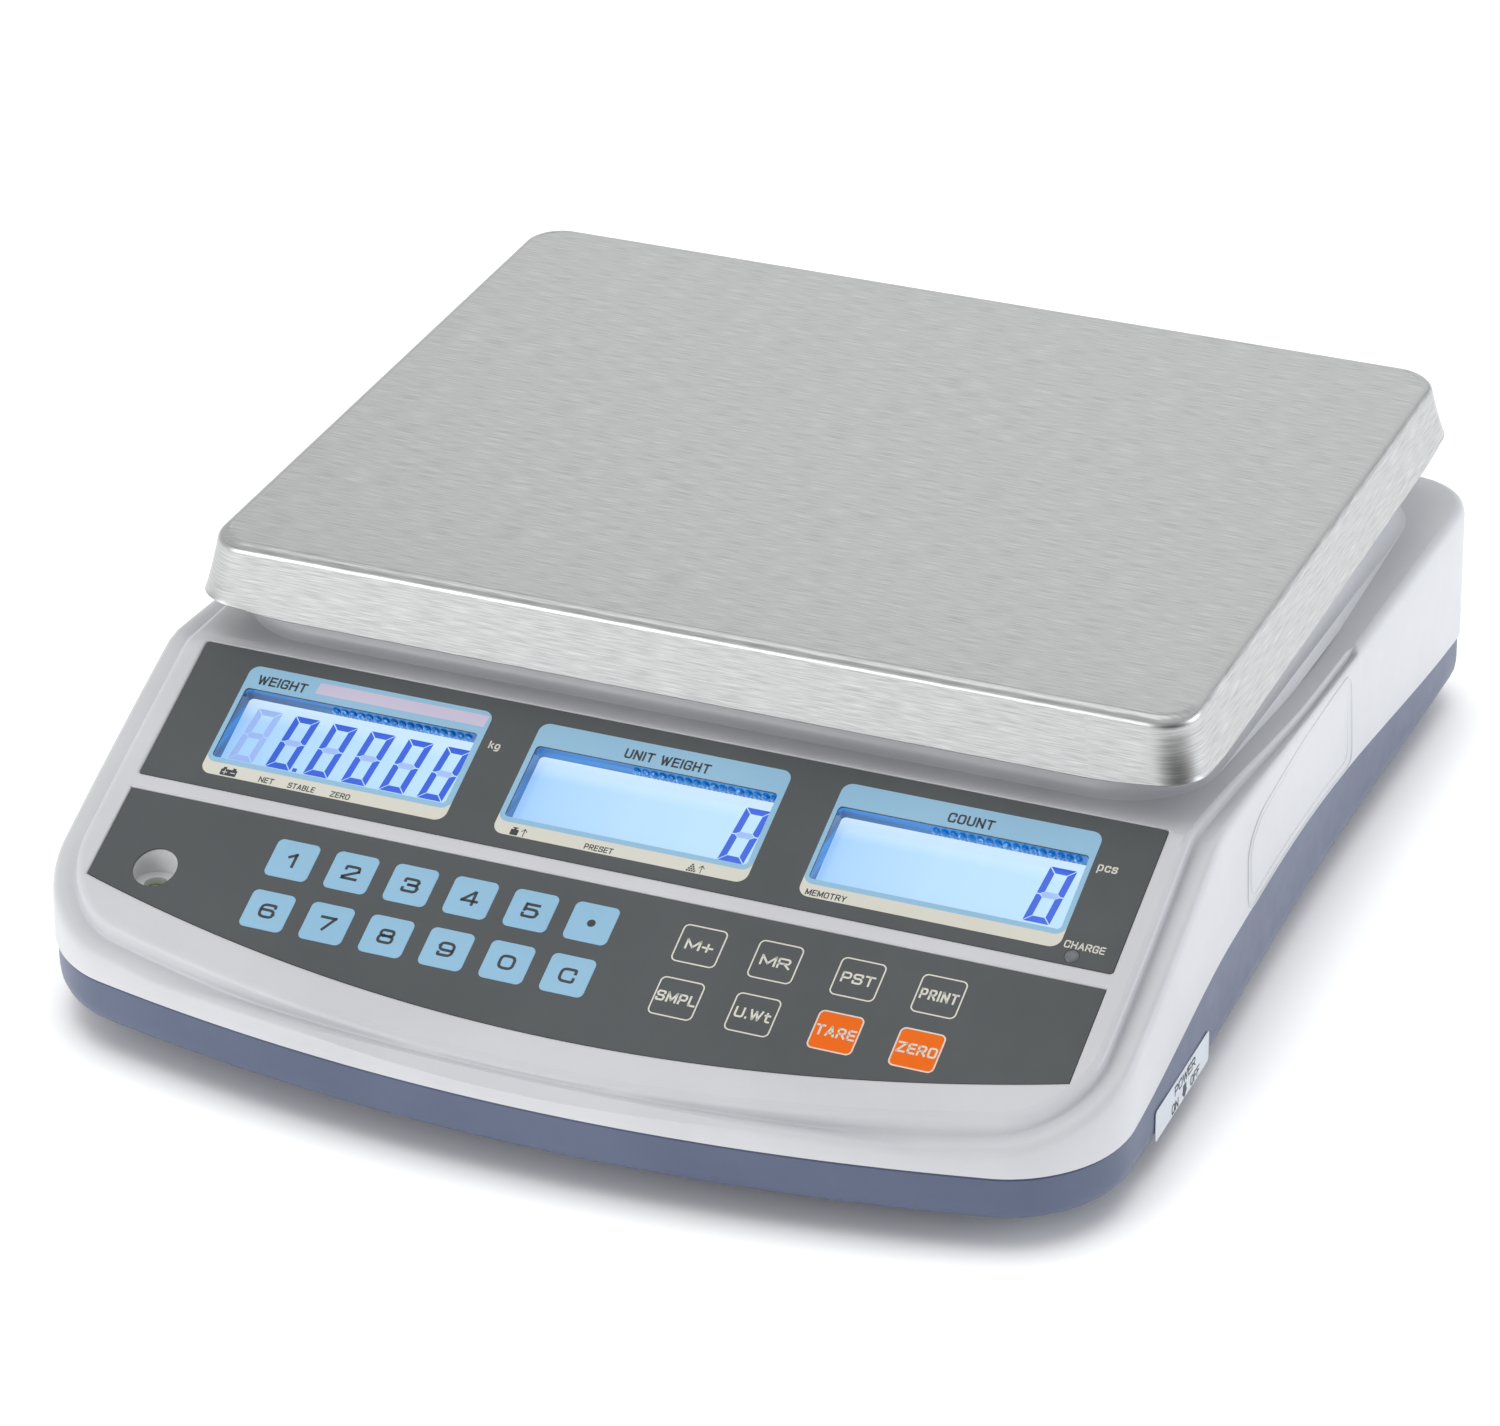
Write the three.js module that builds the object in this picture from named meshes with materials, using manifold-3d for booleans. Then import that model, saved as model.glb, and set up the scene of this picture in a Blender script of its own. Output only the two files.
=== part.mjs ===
// Counting scale: a two-part moulded housing with a sloping display and key panel, a stainless
// weighing pan on a cast spider and single-point load cell, three liquid-crystal displays, twenty
// keys, levelling feet, and the power switch, charging jack and serial port.
// Units are millimetres. +X is the reader's right, +Y runs away from the reader, +Z is up.
// The origin is on the table, under the middle of the housing.

import * as THREE from 'three';
import { mergeVertices } from 'three/addons/utils/BufferGeometryUtils.js';
import Module from 'manifold-3d';

const wasm = await Module();
wasm.setup();

// ---------------------------------------------------------------- driving dimensions

const DEPTH = 355;                 // housing, front to back
const FRONT_Y = -DEPTH / 2;
const REAR_Y = DEPTH / 2;
const HALF_WIDTH = 157.4;          // mean half width; the sides wave in and out of it by SIDE_WAVE
const SIDE_WAVE = 1.2;
const WAIST_Y = 40;                // narrowest here, widest WAIST_PITCH / 2 before and after
const WAIST_PITCH = 280;
const BOW = 8.74e-4;               // the front edge curves back by BOW * x * x
const FRONT_CORNER = 26;           // length of edge that each rounded corner takes
const REAR_CORNER = 20;

const TOTAL_HEIGHT = 107;
const BASE_Z = 9;                  // underside of the base tray
const SEAM_Z = 23.5;               // parting line at the front and back
const SEAM_RISE = 13.7;            // how far the parting line arches up along each side
const SEAM_GAP = 0.4;
const BASE_INSET = 0.7;            // the tray sits this far inside the cover's edge
const WALL = 2.6;                  // moulded wall of both shells

const TILT = Math.atan(0.4481);    // slope of the display and key panel
const PANEL_Y = -65.1;             // upper edge of the display overlay
const PANEL_Z = 77.6;
const RIM = 0.6;                   // the cover stands this far above the overlays
const SKIN = 3.2;                  // cover thickness over the panel
const LEDGE_FRONT_Z = 29.7;        // ledge that runs round the housing under the panel's edge
const LEDGE_SIDE_Z = 71;
const LEDGE_DROP = 3.5;
const LEDGE_WIDTH = 7;
const DECK_FRONT_Z = 77.8;         // top of the cover, under the pan
const DECK_REAR_Z = 70.6;

const PAN_Y = 54.9;                // middle of the pan
const PAN_WIDTH = 294;
const PAN_DEPTH = 228;
const PAN_CORNER = 13;
const PAN_SKIRT = 20;
const PAN_FLARE = 3.2;
const PAN_EDGE = 3.4;
const PAN_SHEET = 1.2;
const CORNER_LIFT = 2.4;           // the skirt is shorter at its drawn corners
const PLATEAU_WIDTH = 284;
const PLATEAU_DEPTH = 214;
const PLATEAU_CORNER = 24;
const PLATEAU_Z = 91;

const OVERLAY_WIDTH = 288;
const OVERLAY_DEPTH = 47.8;        // display overlay, along the slope
const OVERLAY_SHEET = 0.5;
const RIB_WIDTH = 5.2;             // white bar between the two overlays
const KEYS_FRONT_V = -103.1;       // lower edge of the key overlay at the middle, along the slope
const KEYS_BOW = 9.58e-4;
const DISPLAY_PITCH = 90;
const WINDOW_SIZE = [72, 24.7];
const WINDOW_V = -25.1;
const KEY_SIZE = [13, 12.5];
const KEY_CORNER = 1.8;
const KEY_ROWS = [-65.5, -82.95];
const KEY_COLUMNS = [-88.5, -70.5, -52.5, -34.5, -16.5, 1.4];
const FUNCTION_COLUMNS = [33.1, 55.1, 78.7, 101.7];
const KEY_HEIGHT = 2.4;
const GAP = 0.3;                   // clearance round parts that touch
const LEVEL_AT = [-125.9, -76.8];  // level viewing hole, on the panel
const LEVEL_HOLE = 12.8;
const LEVEL_TOP_Z = 38.5;
const LED_AT = [131.7, -44.8];
const LED_SIZE = 4;

const FOOT_AT = [[-126, -122], [126, -122], [-126, 140], [126, 140]];
const FOOT_RADIUS = 13;
const STUD_RADIUS = 4;
const CELL_SIZE = [130, 30, 22];
const CELL_Z = 40;
const CELL_BEND = 0.5;             // room for the cell's free end to bend under a full load
const SPIDER_Z = 93.4;
const SPIDER_THICKNESS = 6;
const PAD_AT = [[-112, -82], [112, -82], [-112, 82], [112, 82]];
const BATTERY_SIZE = [101, 70, 47];
const BATTERY_AT = [-58, 112];
const DOOR_SIZE = [112, 80];
const DOOR_SHEET = 1.5;
const DOOR_TRAVEL = 12;
const SWITCH_AT = [134, -86];
const SWITCH_SIZE = [15, 21];
const BAY_SIZE = [84, 9, 22];      // recess in the rear wall that the two sockets sit in
const BAY_AT = [69, 44];           // x and z of its middle
const JACK_AT = [94, 44];
const PORT_AT = [50, 44];
const PORT_SIZE = [31, 12.6];
const LABEL_SIZE = [43.5, 9.6];

// ---------------------------------------------------------------- curves of the housing

const smooth = (t) => { const s = THREE.MathUtils.clamp(t, 0, 1); return s * s * (3 - 2 * s); };
const between = (y, from, to) => smooth((y - from) / (to - from));
const panelZ = (y) => PANEL_Z + (y - PANEL_Y) * Math.tan(TILT);
const sideX = (y) => HALF_WIDTH - SIDE_WAVE * Math.cos((2 * Math.PI * (y - WAIST_Y)) / WAIST_PITCH);
const frontY = (x) => FRONT_Y + BOW * x * x;

// Parting line: level at the front, up quickly behind the front corner, slowly down to the back.
const seamZ = (y) => {
  const fall = y < -20 ? 1 : 0.5 * (1 + Math.cos((Math.PI * (y + 20)) / 210));
  return SEAM_Z + SEAM_RISE * between(y, -150, -50) * fall;
};
const ledgeZ = (y) => {
  const side = LEDGE_SIDE_Z - 2 * between(y, -65, 75);
  return THREE.MathUtils.clamp(panelZ(y) - LEDGE_DROP, LEDGE_FRONT_Z, side);
};
const deckZ = (y) => THREE.MathUtils.lerp(DECK_FRONT_Z, DECK_REAR_Z, between(y, -60, 150));

// The housing's outline at an inset, anticlockwise from the middle of the front.
function housingOutline(inset) {
  const rightHalf = [];
  const front = FRONT_CORNER - 0.8 * inset;
  const rear = REAR_CORNER - 0.8 * inset;
  const cornerX = sideX(FRONT_Y) - inset;
  const frontEnd = cornerX - front;
  const sideStart = frontY(cornerX) + inset + front;
  const rearY = REAR_Y - inset;
  const sideEnd = rearY - rear;
  const rearStart = sideX(rearY) - inset - rear;
  const onFront = (x) => new THREE.Vector2(x, frontY(x) + inset);
  const onSide = (y) => new THREE.Vector2(sideX(y) - inset, y);
  const corner = (from, middle, to, steps) => {
    const curve = new THREE.CubicBezierCurve(
      from, from.clone().lerp(middle, 0.56), to.clone().lerp(middle, 0.56), to);
    return curve.getPoints(steps);
  };
  for (let i = 0; i < 8; i += 1) rightHalf.push(onFront((frontEnd * i) / 8));
  rightHalf.push(...corner(onFront(frontEnd), onFront(cornerX), onSide(sideStart), 7));
  for (let i = 1; i < 12; i += 1) rightHalf.push(onSide(THREE.MathUtils.lerp(sideStart, sideEnd, i / 12)));
  const rearCorner = new THREE.Vector2(sideX(rearY) - inset, rearY);
  rightHalf.push(...corner(onSide(sideEnd), rearCorner, new THREE.Vector2(rearStart, rearY), 6));
  rightHalf.push(new THREE.Vector2(0, rearY));
  const leftHalf = rightHalf.slice(1, -1).reverse().map((p) => new THREE.Vector2(-p.x, p.y));
  return [...rightHalf, ...leftHalf];
}

// A rectangle with round corners, anticlockwise, with the share of "corner" at each point.
function roundedRing(width, depth, radius, steps = 6) {
  const ring = [];
  const quarters = [[1, -1, -90], [1, 1, 0], [-1, 1, 90], [-1, -1, 180]];
  for (const [sx, sy, start] of quarters) {
    for (let i = 0; i <= steps; i += 1) {
      const angle = THREE.MathUtils.degToRad(start + (90 * i) / steps);
      ring.push({
        x: sx * (width / 2 - radius) + radius * Math.cos(angle),
        y: sy * (depth / 2 - radius) + radius * Math.sin(angle),
        corner: Math.sin((Math.PI * i) / steps),
      });
    }
  }
  return ring;
}

function roundedShape(width, depth, radius, steps = 3) {
  return new THREE.Shape(roundedRing(width, depth, radius, steps).map((p) => new THREE.Vector2(p.x, p.y)));
}

// ---------------------------------------------------------------- solids

// Closed surface through rings of equal length, capped at both ends from its middle.
function loft(rings) {
  const count = rings[0].length;
  const middle = (ring) => ring.reduce((sum, p) => sum.add(p), new THREE.Vector3()).divideScalar(count);
  const points = [middle(rings[0]), ...rings.flat(), middle(rings.at(-1))];
  const last = points.length - 1;
  const index = [];
  for (let i = 0; i < count; i += 1) {
    const next = (i + 1) % count;
    index.push(0, 1 + next, 1 + i);
    for (let r = 0; r < rings.length - 1; r += 1) {
      const low = 1 + r * count;
      const high = low + count;
      index.push(low + i, low + next, high + next, low + i, high + next, high + i);
    }
    index.push(last, last - count + i, last - count + next);
  }
  const geometry = new THREE.BufferGeometry();
  geometry.setAttribute('position', new THREE.Float32BufferAttribute(points.flatMap((p) => p.toArray()), 3));
  geometry.setIndex(index);
  return geometry;
}

function toSolid(geometry) {
  const bare = geometry.clone();
  bare.deleteAttribute('normal');
  bare.deleteAttribute('uv');
  const merged = mergeVertices(bare, 1e-4);
  return new wasm.Manifold(new wasm.Mesh({
    numProp: 3,
    vertProperties: new Float32Array(merged.getAttribute('position').array),
    triVerts: new Uint32Array(merged.getIndex().array),
  }));
}

function toGeometry(solid) {
  const mesh = solid.getMesh();
  const geometry = new THREE.BufferGeometry();
  geometry.setAttribute('position', new THREE.Float32BufferAttribute(mesh.vertProperties, 3));
  geometry.setIndex(Array.from(mesh.triVerts));
  geometry.computeVertexNormals();
  return geometry;
}

const cut = (geometry, ...tools) => toGeometry(
  tools.reduce((rest, tool) => rest.subtract(toSolid(tool)), toSolid(geometry)));
const join = (...pieces) => toGeometry(
  pieces.slice(1).reduce((all, piece) => all.add(toSolid(piece)), toSolid(pieces[0])));
const common = (a, b) => toGeometry(toSolid(a).intersect(toSolid(b)));

const block = (width, depth, height, x = 0, y = 0, z = 0) => (
  new THREE.BoxGeometry(width, depth, height).translate(x, y, z + height / 2));
const post = (radius, height, x = 0, y = 0, z = 0, sides = 20) => (
  new THREE.CylinderGeometry(radius, radius, height, sides)
    .rotateX(Math.PI / 2).translate(x, y, z + height / 2));
const slab = (shape, height, x = 0, y = 0, z = 0) => (
  new THREE.ExtrudeGeometry(shape, { depth: height, bevelEnabled: false }).translate(x, y, z));
const facingRear = (geometry, x, y, z) => geometry.rotateX(-Math.PI / 2).translate(x, y, z);

// A profile drawn in y and z, run across the whole width.
function acrossWidth(profile, halfLength) {
  const shape = new THREE.Shape(profile.map(([y, z]) => new THREE.Vector2(y, z)));
  const turn = new THREE.Matrix4().makeBasis(
    new THREE.Vector3(0, 1, 0), new THREE.Vector3(0, 0, 1), new THREE.Vector3(1, 0, 0));
  return slab(shape, 2 * halfLength, 0, 0, -halfLength).applyMatrix4(turn);
}

const plastic = (colour, roughness = 0.5) => (
  new THREE.MeshStandardMaterial({ color: colour, roughness, metalness: 0 }));
const metal = (colour, roughness = 0.35) => (
  new THREE.MeshStandardMaterial({ color: colour, roughness, metalness: 1 }));

const WHITE = plastic(0xe4e6ea, 0.45);
const BLUE_GREY = plastic(0x6d7890, 0.5);
const GRAPHITE = plastic(0x54585b, 0.6);
const KEY_BLUE = plastic(0xa2cae4, 0.55);
const KEY_ORANGE = plastic(0xf07905, 0.55);
const BLACK = plastic(0x1d1f22, 0.55);
const BOARD_GREEN = plastic(0x1e5a37, 0.6);
const GLASS_BLUE = plastic(0xbfe0ff, 0.2);
const LABEL = plastic(0xc9d6e0, 0.6);
const CLEAR = plastic(0xd9e6c8, 0.15);
const RUBBER = plastic(0x26282b, 0.9);
const STAINLESS = metal(0xb9bbbc, 0.3);
const ALUMINIUM = metal(0xa9adb2, 0.45);
const ZINC = metal(0x9a9ea4, 0.4);

const scale = new THREE.Group();
const panel = new THREE.Group();
panel.position.set(0, PANEL_Y, PANEL_Z);
panel.rotation.x = TILT;
panel.updateMatrix();
scale.add(panel);

function place(parent, name, geometry, material, x = 0, y = 0, z = 0) {
  const mesh = new THREE.Mesh(geometry, material);
  mesh.name = name;
  mesh.position.set(x, y, z);
  parent.add(mesh);
  return mesh;
}
const onPanel = (geometry) => geometry.applyMatrix4(panel.matrix);

// ---------------------------------------------------------------- keys and overlays

const numberNames = ['1', '2', '3', '4', '5', 'point', '6', '7', '8', '9', '0', 'clear'];
const functionNames = ['memory_add', 'memory_recall', 'preset', 'print',
  'sample', 'unit_weight', 'tare', 'zero'];
const keys = [
  ...numberNames.map((name, i) => ({
    name: `key_${name}`, u: KEY_COLUMNS[i % 6], v: KEY_ROWS[Math.floor(i / 6)], material: KEY_BLUE })),
  ...functionNames.map((name, i) => ({
    name: `key_${name}`, u: FUNCTION_COLUMNS[i % 4], v: KEY_ROWS[Math.floor(i / 4)],
    material: i > 5 ? KEY_ORANGE : GRAPHITE })),
];

// Outline of the key overlay: straight above, bowed below, as the housing's front is.
function keyOverlayShape(grow) {
  const half = OVERLAY_WIDTH / 2 + grow;
  const top = -OVERLAY_DEPTH - RIB_WIDTH + grow;
  const points = [new THREE.Vector2(half, top), new THREE.Vector2(-half, top)];
  for (let i = 0; i <= 16; i += 1) {
    const u = THREE.MathUtils.lerp(-half, half, i / 16);
    points.push(new THREE.Vector2(u, KEYS_FRONT_V + KEYS_BOW * u * u - grow));
  }
  return new THREE.Shape(points);
}

function displayOverlayShape(grow) {
  const half = OVERLAY_WIDTH / 2 + grow;
  return new THREE.Shape([
    new THREE.Vector2(-half, -OVERLAY_DEPTH - grow), new THREE.Vector2(half, -OVERLAY_DEPTH - grow),
    new THREE.Vector2(half, grow), new THREE.Vector2(-half, grow)]);
}

const displayCentres = [-DISPLAY_PITCH, 0, DISPLAY_PITCH];
const windowHole = (grow, height, u, w) => (
  slab(roundedShape(WINDOW_SIZE[0] + grow, WINDOW_SIZE[1] + grow, 1.5, 2), height, u, WINDOW_V, w));
const keyHole = (key, grow, height, w) => (
  slab(roundedShape(KEY_SIZE[0] + grow, KEY_SIZE[1] + grow, KEY_CORNER, 2), height, key.u, key.v, w));

place(panel, 'display_overlay', cut(
  slab(displayOverlayShape(0), OVERLAY_SHEET, 0, 0, -OVERLAY_SHEET),
  ...displayCentres.map((u) => windowHole(0, 4, u, -2)),
  post(LED_SIZE / 2 + GAP, 4, ...LED_AT, -2)), GRAPHITE);

place(panel, 'keypad_overlay', cut(
  slab(keyOverlayShape(0), OVERLAY_SHEET, 0, 0, -OVERLAY_SHEET),
  ...keys.map((key) => keyHole(key, 2 * GAP, 4, -2)),
  post(LEVEL_HOLE / 2, 4, ...LEVEL_AT, -2)), GRAPHITE);

for (const key of keys) {
  const cap = slab(roundedShape(...KEY_SIZE, KEY_CORNER, 3), KEY_HEIGHT, 0, 0, -KEY_HEIGHT);
  place(panel, key.name, cap, key.material, key.u, key.v, 0.1);
}

place(panel, 'charge_led', new THREE.LatheGeometry([
  new THREE.Vector2(0, -4.5), new THREE.Vector2(LED_SIZE / 2, -4.5), new THREE.Vector2(LED_SIZE / 2, 0),
  new THREE.Vector2(LED_SIZE * 0.35, 0.5), new THREE.Vector2(0, 0.65)], 16).rotateX(Math.PI / 2),
CLEAR, ...LED_AT, 0);

// ---------------------------------------------------------------- displays and boards

const displayNames = ['lcd_weight', 'lcd_unit_weight', 'lcd_count'];
displayNames.forEach((name, i) => {
  const glass = slab(roundedShape(WINDOW_SIZE[0] + 6, WINDOW_SIZE[1] + 6, 0.8, 1), 2.8, 0, 0, -2.8);
  const backlight = block(WINDOW_SIZE[0] + 2, WINDOW_SIZE[1] + 2, 3.2, 0, 0, -5.6);
  place(panel, name, join(glass, backlight), GLASS_BLUE, displayCentres[i], WINDOW_V, -SKIN + RIM - GAP);
});
place(panel, 'display_board', block(276, 38, 1.6, 0, WINDOW_V, -10.4), BOARD_GREEN);
place(panel, 'keypad_board', block(216, 34, 1.6, 9, -74.2, -4.6), BOARD_GREEN);

// ---------------------------------------------------------------- top cover

const ring = (inset, height) => housingOutline(inset).map((p) => (
  new THREE.Vector3(p.x, p.y, typeof height === 'function' ? height(p.y) : height)));

// The cover's top in profile: the panel's slope, then the gently falling deck.
function roofProfile(drop) {
  const slopeDrop = drop / Math.cos(TILT);
  const roof = [[-200, panelZ(-200) + RIM - slopeDrop], [PANEL_Y - 1.5, panelZ(PANEL_Y - 1.5) + RIM - slopeDrop]];
  for (let y = PANEL_Y + 6; y < 200; y += 24) roof.push([y, deckZ(y) - drop]);
  return [...roof, [200, deckZ(200) - drop], [200, -50], [-200, -50]].reverse();
}

const coverOuter = loft([
  ring(0, (y) => seamZ(y) + SEAM_GAP),
  ring(0.3, (y) => ledgeZ(y) - 3),
  ring(1.2, (y) => ledgeZ(y) - 1),
  ring(3, ledgeZ),
  ring(LEDGE_WIDTH, ledgeZ),
  ring(LEDGE_WIDTH + 0.8, (y) => ledgeZ(y) + 2),
  ring(LEDGE_WIDTH + 0.9, 120),
]);
const coverInner = loft([
  ring(WALL, -60),
  ring(WALL + 0.3, (y) => ledgeZ(y) - 4.2),
  ring(LEDGE_WIDTH + WALL, (y) => ledgeZ(y) - 3),
  ring(LEDGE_WIDTH + WALL + 0.8, 110),
]);
const plateau = (inset, z0, z1) => slab(roundedShape(
  PLATEAU_WIDTH - 2 * inset, PLATEAU_DEPTH - 2 * inset, PLATEAU_CORNER - inset, 6), z1 - z0, 0, PAN_Y, z0);

const roofed = common(coverOuter, acrossWidth(roofProfile(0), 200));
const hollow = join(
  common(coverInner, acrossWidth(roofProfile(SKIN), 200)),
  plateau(WALL + 4, 40, PLATEAU_Z - WALL));
const shell = cut(join(roofed, plateau(0, 66, PLATEAU_Z)), hollow);

const pocket = (shape) => slab(shape, 10, 0, 0, -OVERLAY_SHEET - GAP);
const levelAtY = PANEL_Y + LEVEL_AT[1] * Math.cos(TILT);
const levelTube = common(
  post(LEVEL_HOLE / 2 + 2, 60, LEVEL_AT[0], levelAtY, LEVEL_TOP_Z - 9.5),
  acrossWidth(roofProfile(0.5), 200));

const JACK_RADIUS = 5.6;
const BAY_Y = REAR_Y - BAY_SIZE[1];
const bayBlock = (grow, depth) => block(BAY_SIZE[0] + 2 * grow, depth, BAY_SIZE[2] + 2 * grow,
  BAY_AT[0], BAY_Y - grow + depth / 2, BAY_AT[1] - BAY_SIZE[2] / 2 - grow);
const coverScrews = [[-148, -40], [148, -40], [-147, 120], [147, 120], [-60, -152], [60, -152]];
const coverBosses = coverScrews.map(([x, y]) => {
  const boss = post(4, 60, x * 0.965, y, seamZ(y) + 4, 12);
  return common(boss, acrossWidth(roofProfile(1), 200));
});

const topCover = cut(
  join(shell, levelTube, bayBlock(WALL, BAY_SIZE[1] + WALL - 1),
    ...coverBosses.map((boss) => common(boss, ledgeLimit()))),
  bayBlock(0, 30),
  onPanel(pocket(displayOverlayShape(GAP))),
  onPanel(pocket(keyOverlayShape(GAP))),
  ...displayCentres.map((u) => onPanel(windowHole(1, 12, u, -8))),
  ...keys.map((key) => onPanel(block(KEY_SIZE[0] + 2 * GAP, KEY_SIZE[1] + 2 * GAP, 12, key.u, key.v, -8))),
  onPanel(post(LED_SIZE / 2 + GAP, 12, ...LED_AT, -8, 12)),
  post(LEVEL_HOLE / 2 - 0.8, 40, LEVEL_AT[0], levelAtY, LEVEL_TOP_Z - 20),
  post(LEVEL_HOLE / 2, 40, LEVEL_AT[0], levelAtY, LEVEL_TOP_Z + 1.6),
  post(LEVEL_HOLE / 2, 20, LEVEL_AT[0], levelAtY, LEVEL_TOP_Z - 19.7),
  slab(roundedShape(56, 44, 4, 3), 40, 43, PAN_Y, 70),
  facingRear(post(JACK_RADIUS + GAP, 30, 0, 0, 0), JACK_AT[0], BAY_Y - 15, JACK_AT[1]),
  block(19, 30, PORT_SIZE[1] - 3.8, PORT_AT[0], BAY_Y, PORT_AT[1] - PORT_SIZE[1] / 2 + 1.9),
);
place(scale, 'top_cover', topCover, WHITE);

// Keeps the inside bosses under the ledge and within the walls.
function ledgeLimit() {
  return loft([ring(1, -60), ring(1.4, (y) => ledgeZ(y) - 2), ring(LEDGE_WIDTH + 1.5, ledgeZ),
    ring(LEDGE_WIDTH + 1.8, 110)]);
}

place(scale, 'spirit_level', new THREE.LatheGeometry([
  new THREE.Vector2(0, -8), new THREE.Vector2(LEVEL_HOLE / 2 - GAP, -8),
  new THREE.Vector2(LEVEL_HOLE / 2 - GAP, -0.6), new THREE.Vector2(LEVEL_HOLE / 2 - 0.9, 0),
  new THREE.Vector2(0, 0)], 20).rotateX(Math.PI / 2), CLEAR, LEVEL_AT[0], levelAtY, LEVEL_TOP_Z);

// ---------------------------------------------------------------- base tray

const trayShell = loft([
  ring(8, BASE_Z),
  ring(3.6, BASE_Z + 0.6),
  ring(BASE_INSET + 0.9, BASE_Z + 2.6),
  ring(BASE_INSET, BASE_Z + 5.5),
  ring(BASE_INSET, seamZ),
  ring(BASE_INSET + WALL, seamZ),
  ring(BASE_INSET + WALL + 0.3, BASE_Z + 5.5),
  ring(BASE_INSET + WALL + 2.5, BASE_Z + WALL),
]);
const floorZ = BASE_Z + WALL;
const footBosses = FOOT_AT.map(([x, y]) => post(9, 12, x, y, BASE_Z + 1));
const screwBosses = coverScrews.map(([x, y]) => post(4.4, seamZ(y) + 3.4 - BASE_Z, x * 0.965, y, BASE_Z + 0.6, 12));
const cellBoss = block(46, 34, CELL_Z - 6.3 - BASE_Z - 1, -40, PAN_Y, BASE_Z + 1);
const batteryWalls = cut(
  block(BATTERY_SIZE[0] + 8, BATTERY_SIZE[1] + 8, 14, ...BATTERY_AT, BASE_Z + 1),
  block(BATTERY_SIZE[0] + 3, BATTERY_SIZE[1] + 3, 40, ...BATTERY_AT, -10));
const baseTray = cut(
  join(trayShell, ...footBosses, ...screwBosses, cellBoss, batteryWalls),
  ...FOOT_AT.map(([x, y]) => post(STUD_RADIUS + 0.4, 60, x, y, -10)),
  ...coverScrews.map(([x, y]) => post(2.6, 6, x * 0.965, y, BASE_Z - 1, 10)),
  block(DOOR_SIZE[0] - 8, DOOR_SIZE[1] - 6, 30, ...BATTERY_AT, -10),
  block(DOOR_SIZE[0] + 0.8, DOOR_SIZE[1] + DOOR_TRAVEL + 1, 2 + DOOR_SHEET + 0.4, BATTERY_AT[0],
    BATTERY_AT[1] + DOOR_TRAVEL / 2, BASE_Z - 2),
  block(SWITCH_SIZE[0] - 1.6, SWITCH_SIZE[1] - 1.6, 20, ...SWITCH_AT, BASE_Z - 5),
  ...[-1, 0, 1].flatMap((i) => [0, 1].map((j) => block(3, 26, 20, 62 + 9 * i, 96 + 40 * j, BASE_Z - 5))),
);
place(scale, 'base_tray', baseTray, BLUE_GREY);

place(scale, 'battery_door', join(
  block(...DOOR_SIZE, DOOR_SHEET, ...BATTERY_AT, BASE_Z),
  ...[0, 1, 2, 3].map((i) => block(30, 1.4, 1.2, BATTERY_AT[0], BATTERY_AT[1] - 30 + 4 * i, BASE_Z - 0.8))),
BLUE_GREY);

// ---------------------------------------------------------------- battery, boards and load cell

place(scale, 'battery', join(
  block(...BATTERY_SIZE, ...BATTERY_AT, floorZ + 0.6),
  ...[-1, 1].map((side) => block(5, 1.2, 6, BATTERY_AT[0] - 38, BATTERY_AT[1] + 22 * side,
    floorZ + BATTERY_SIZE[2]))), BLACK);
place(scale, 'main_board', join(
  block(74, 96, 1.6, 96, -22, floorZ + 6),
  block(26, 26, 3, 90, -10, floorZ + 7.4),
  block(16, 38, 8, 118, -22, floorZ + 7.4)), BOARD_GREEN);

const [cellLength, cellWidth, cellHeight] = CELL_SIZE;
const alongY = (geometry, x, z) => geometry.rotateX(Math.PI / 2).translate(x, PAN_Y, z);
const cellMid = CELL_Z + cellHeight / 2;
place(scale, 'load_cell', cut(
  block(...CELL_SIZE, 0, PAN_Y, CELL_Z),
  ...[-13, 13].map((x) => alongY(new THREE.CylinderGeometry(8.6, 8.6, 60, 20).rotateX(Math.PI / 2), x, cellMid)),
  block(26, 60, 6, 0, PAN_Y, cellMid - 3)), ALUMINIUM);
place(scale, 'cell_mount', block(44, 32, 5.7, -42, PAN_Y, CELL_Z - 6), ZINC);
const spacerZ = CELL_Z + cellHeight + GAP + CELL_BEND;
place(scale, 'cell_spacer', block(40, 28, SPIDER_Z - GAP - spacerZ, 43, PAN_Y, spacerZ), ZINC);
place(scale, 'overload_stop', join(
  post(3, CELL_Z - 1 - floorZ, 57, PAN_Y, floorZ + 0.2, 12),
  post(6, 5, 57, PAN_Y, floorZ + 4, 6)), ZINC);

// ---------------------------------------------------------------- pan support and pan

function spiderArm([x, y]) {
  const length = Math.hypot(x, y);
  const arm = block(length, 16, SPIDER_THICKNESS, length / 2, 0, SPIDER_Z);
  return arm.rotateZ(Math.atan2(y, x)).translate(0, PAN_Y, 0);
}
place(scale, 'pan_support', join(
  block(112, 46, SPIDER_THICKNESS, 14, PAN_Y, SPIDER_Z),
  ...PAD_AT.map(spiderArm),
  ...PAD_AT.map(([x, y]) => post(13, SPIDER_THICKNESS, x, y + PAN_Y, SPIDER_Z))), ALUMINIUM);

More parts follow.
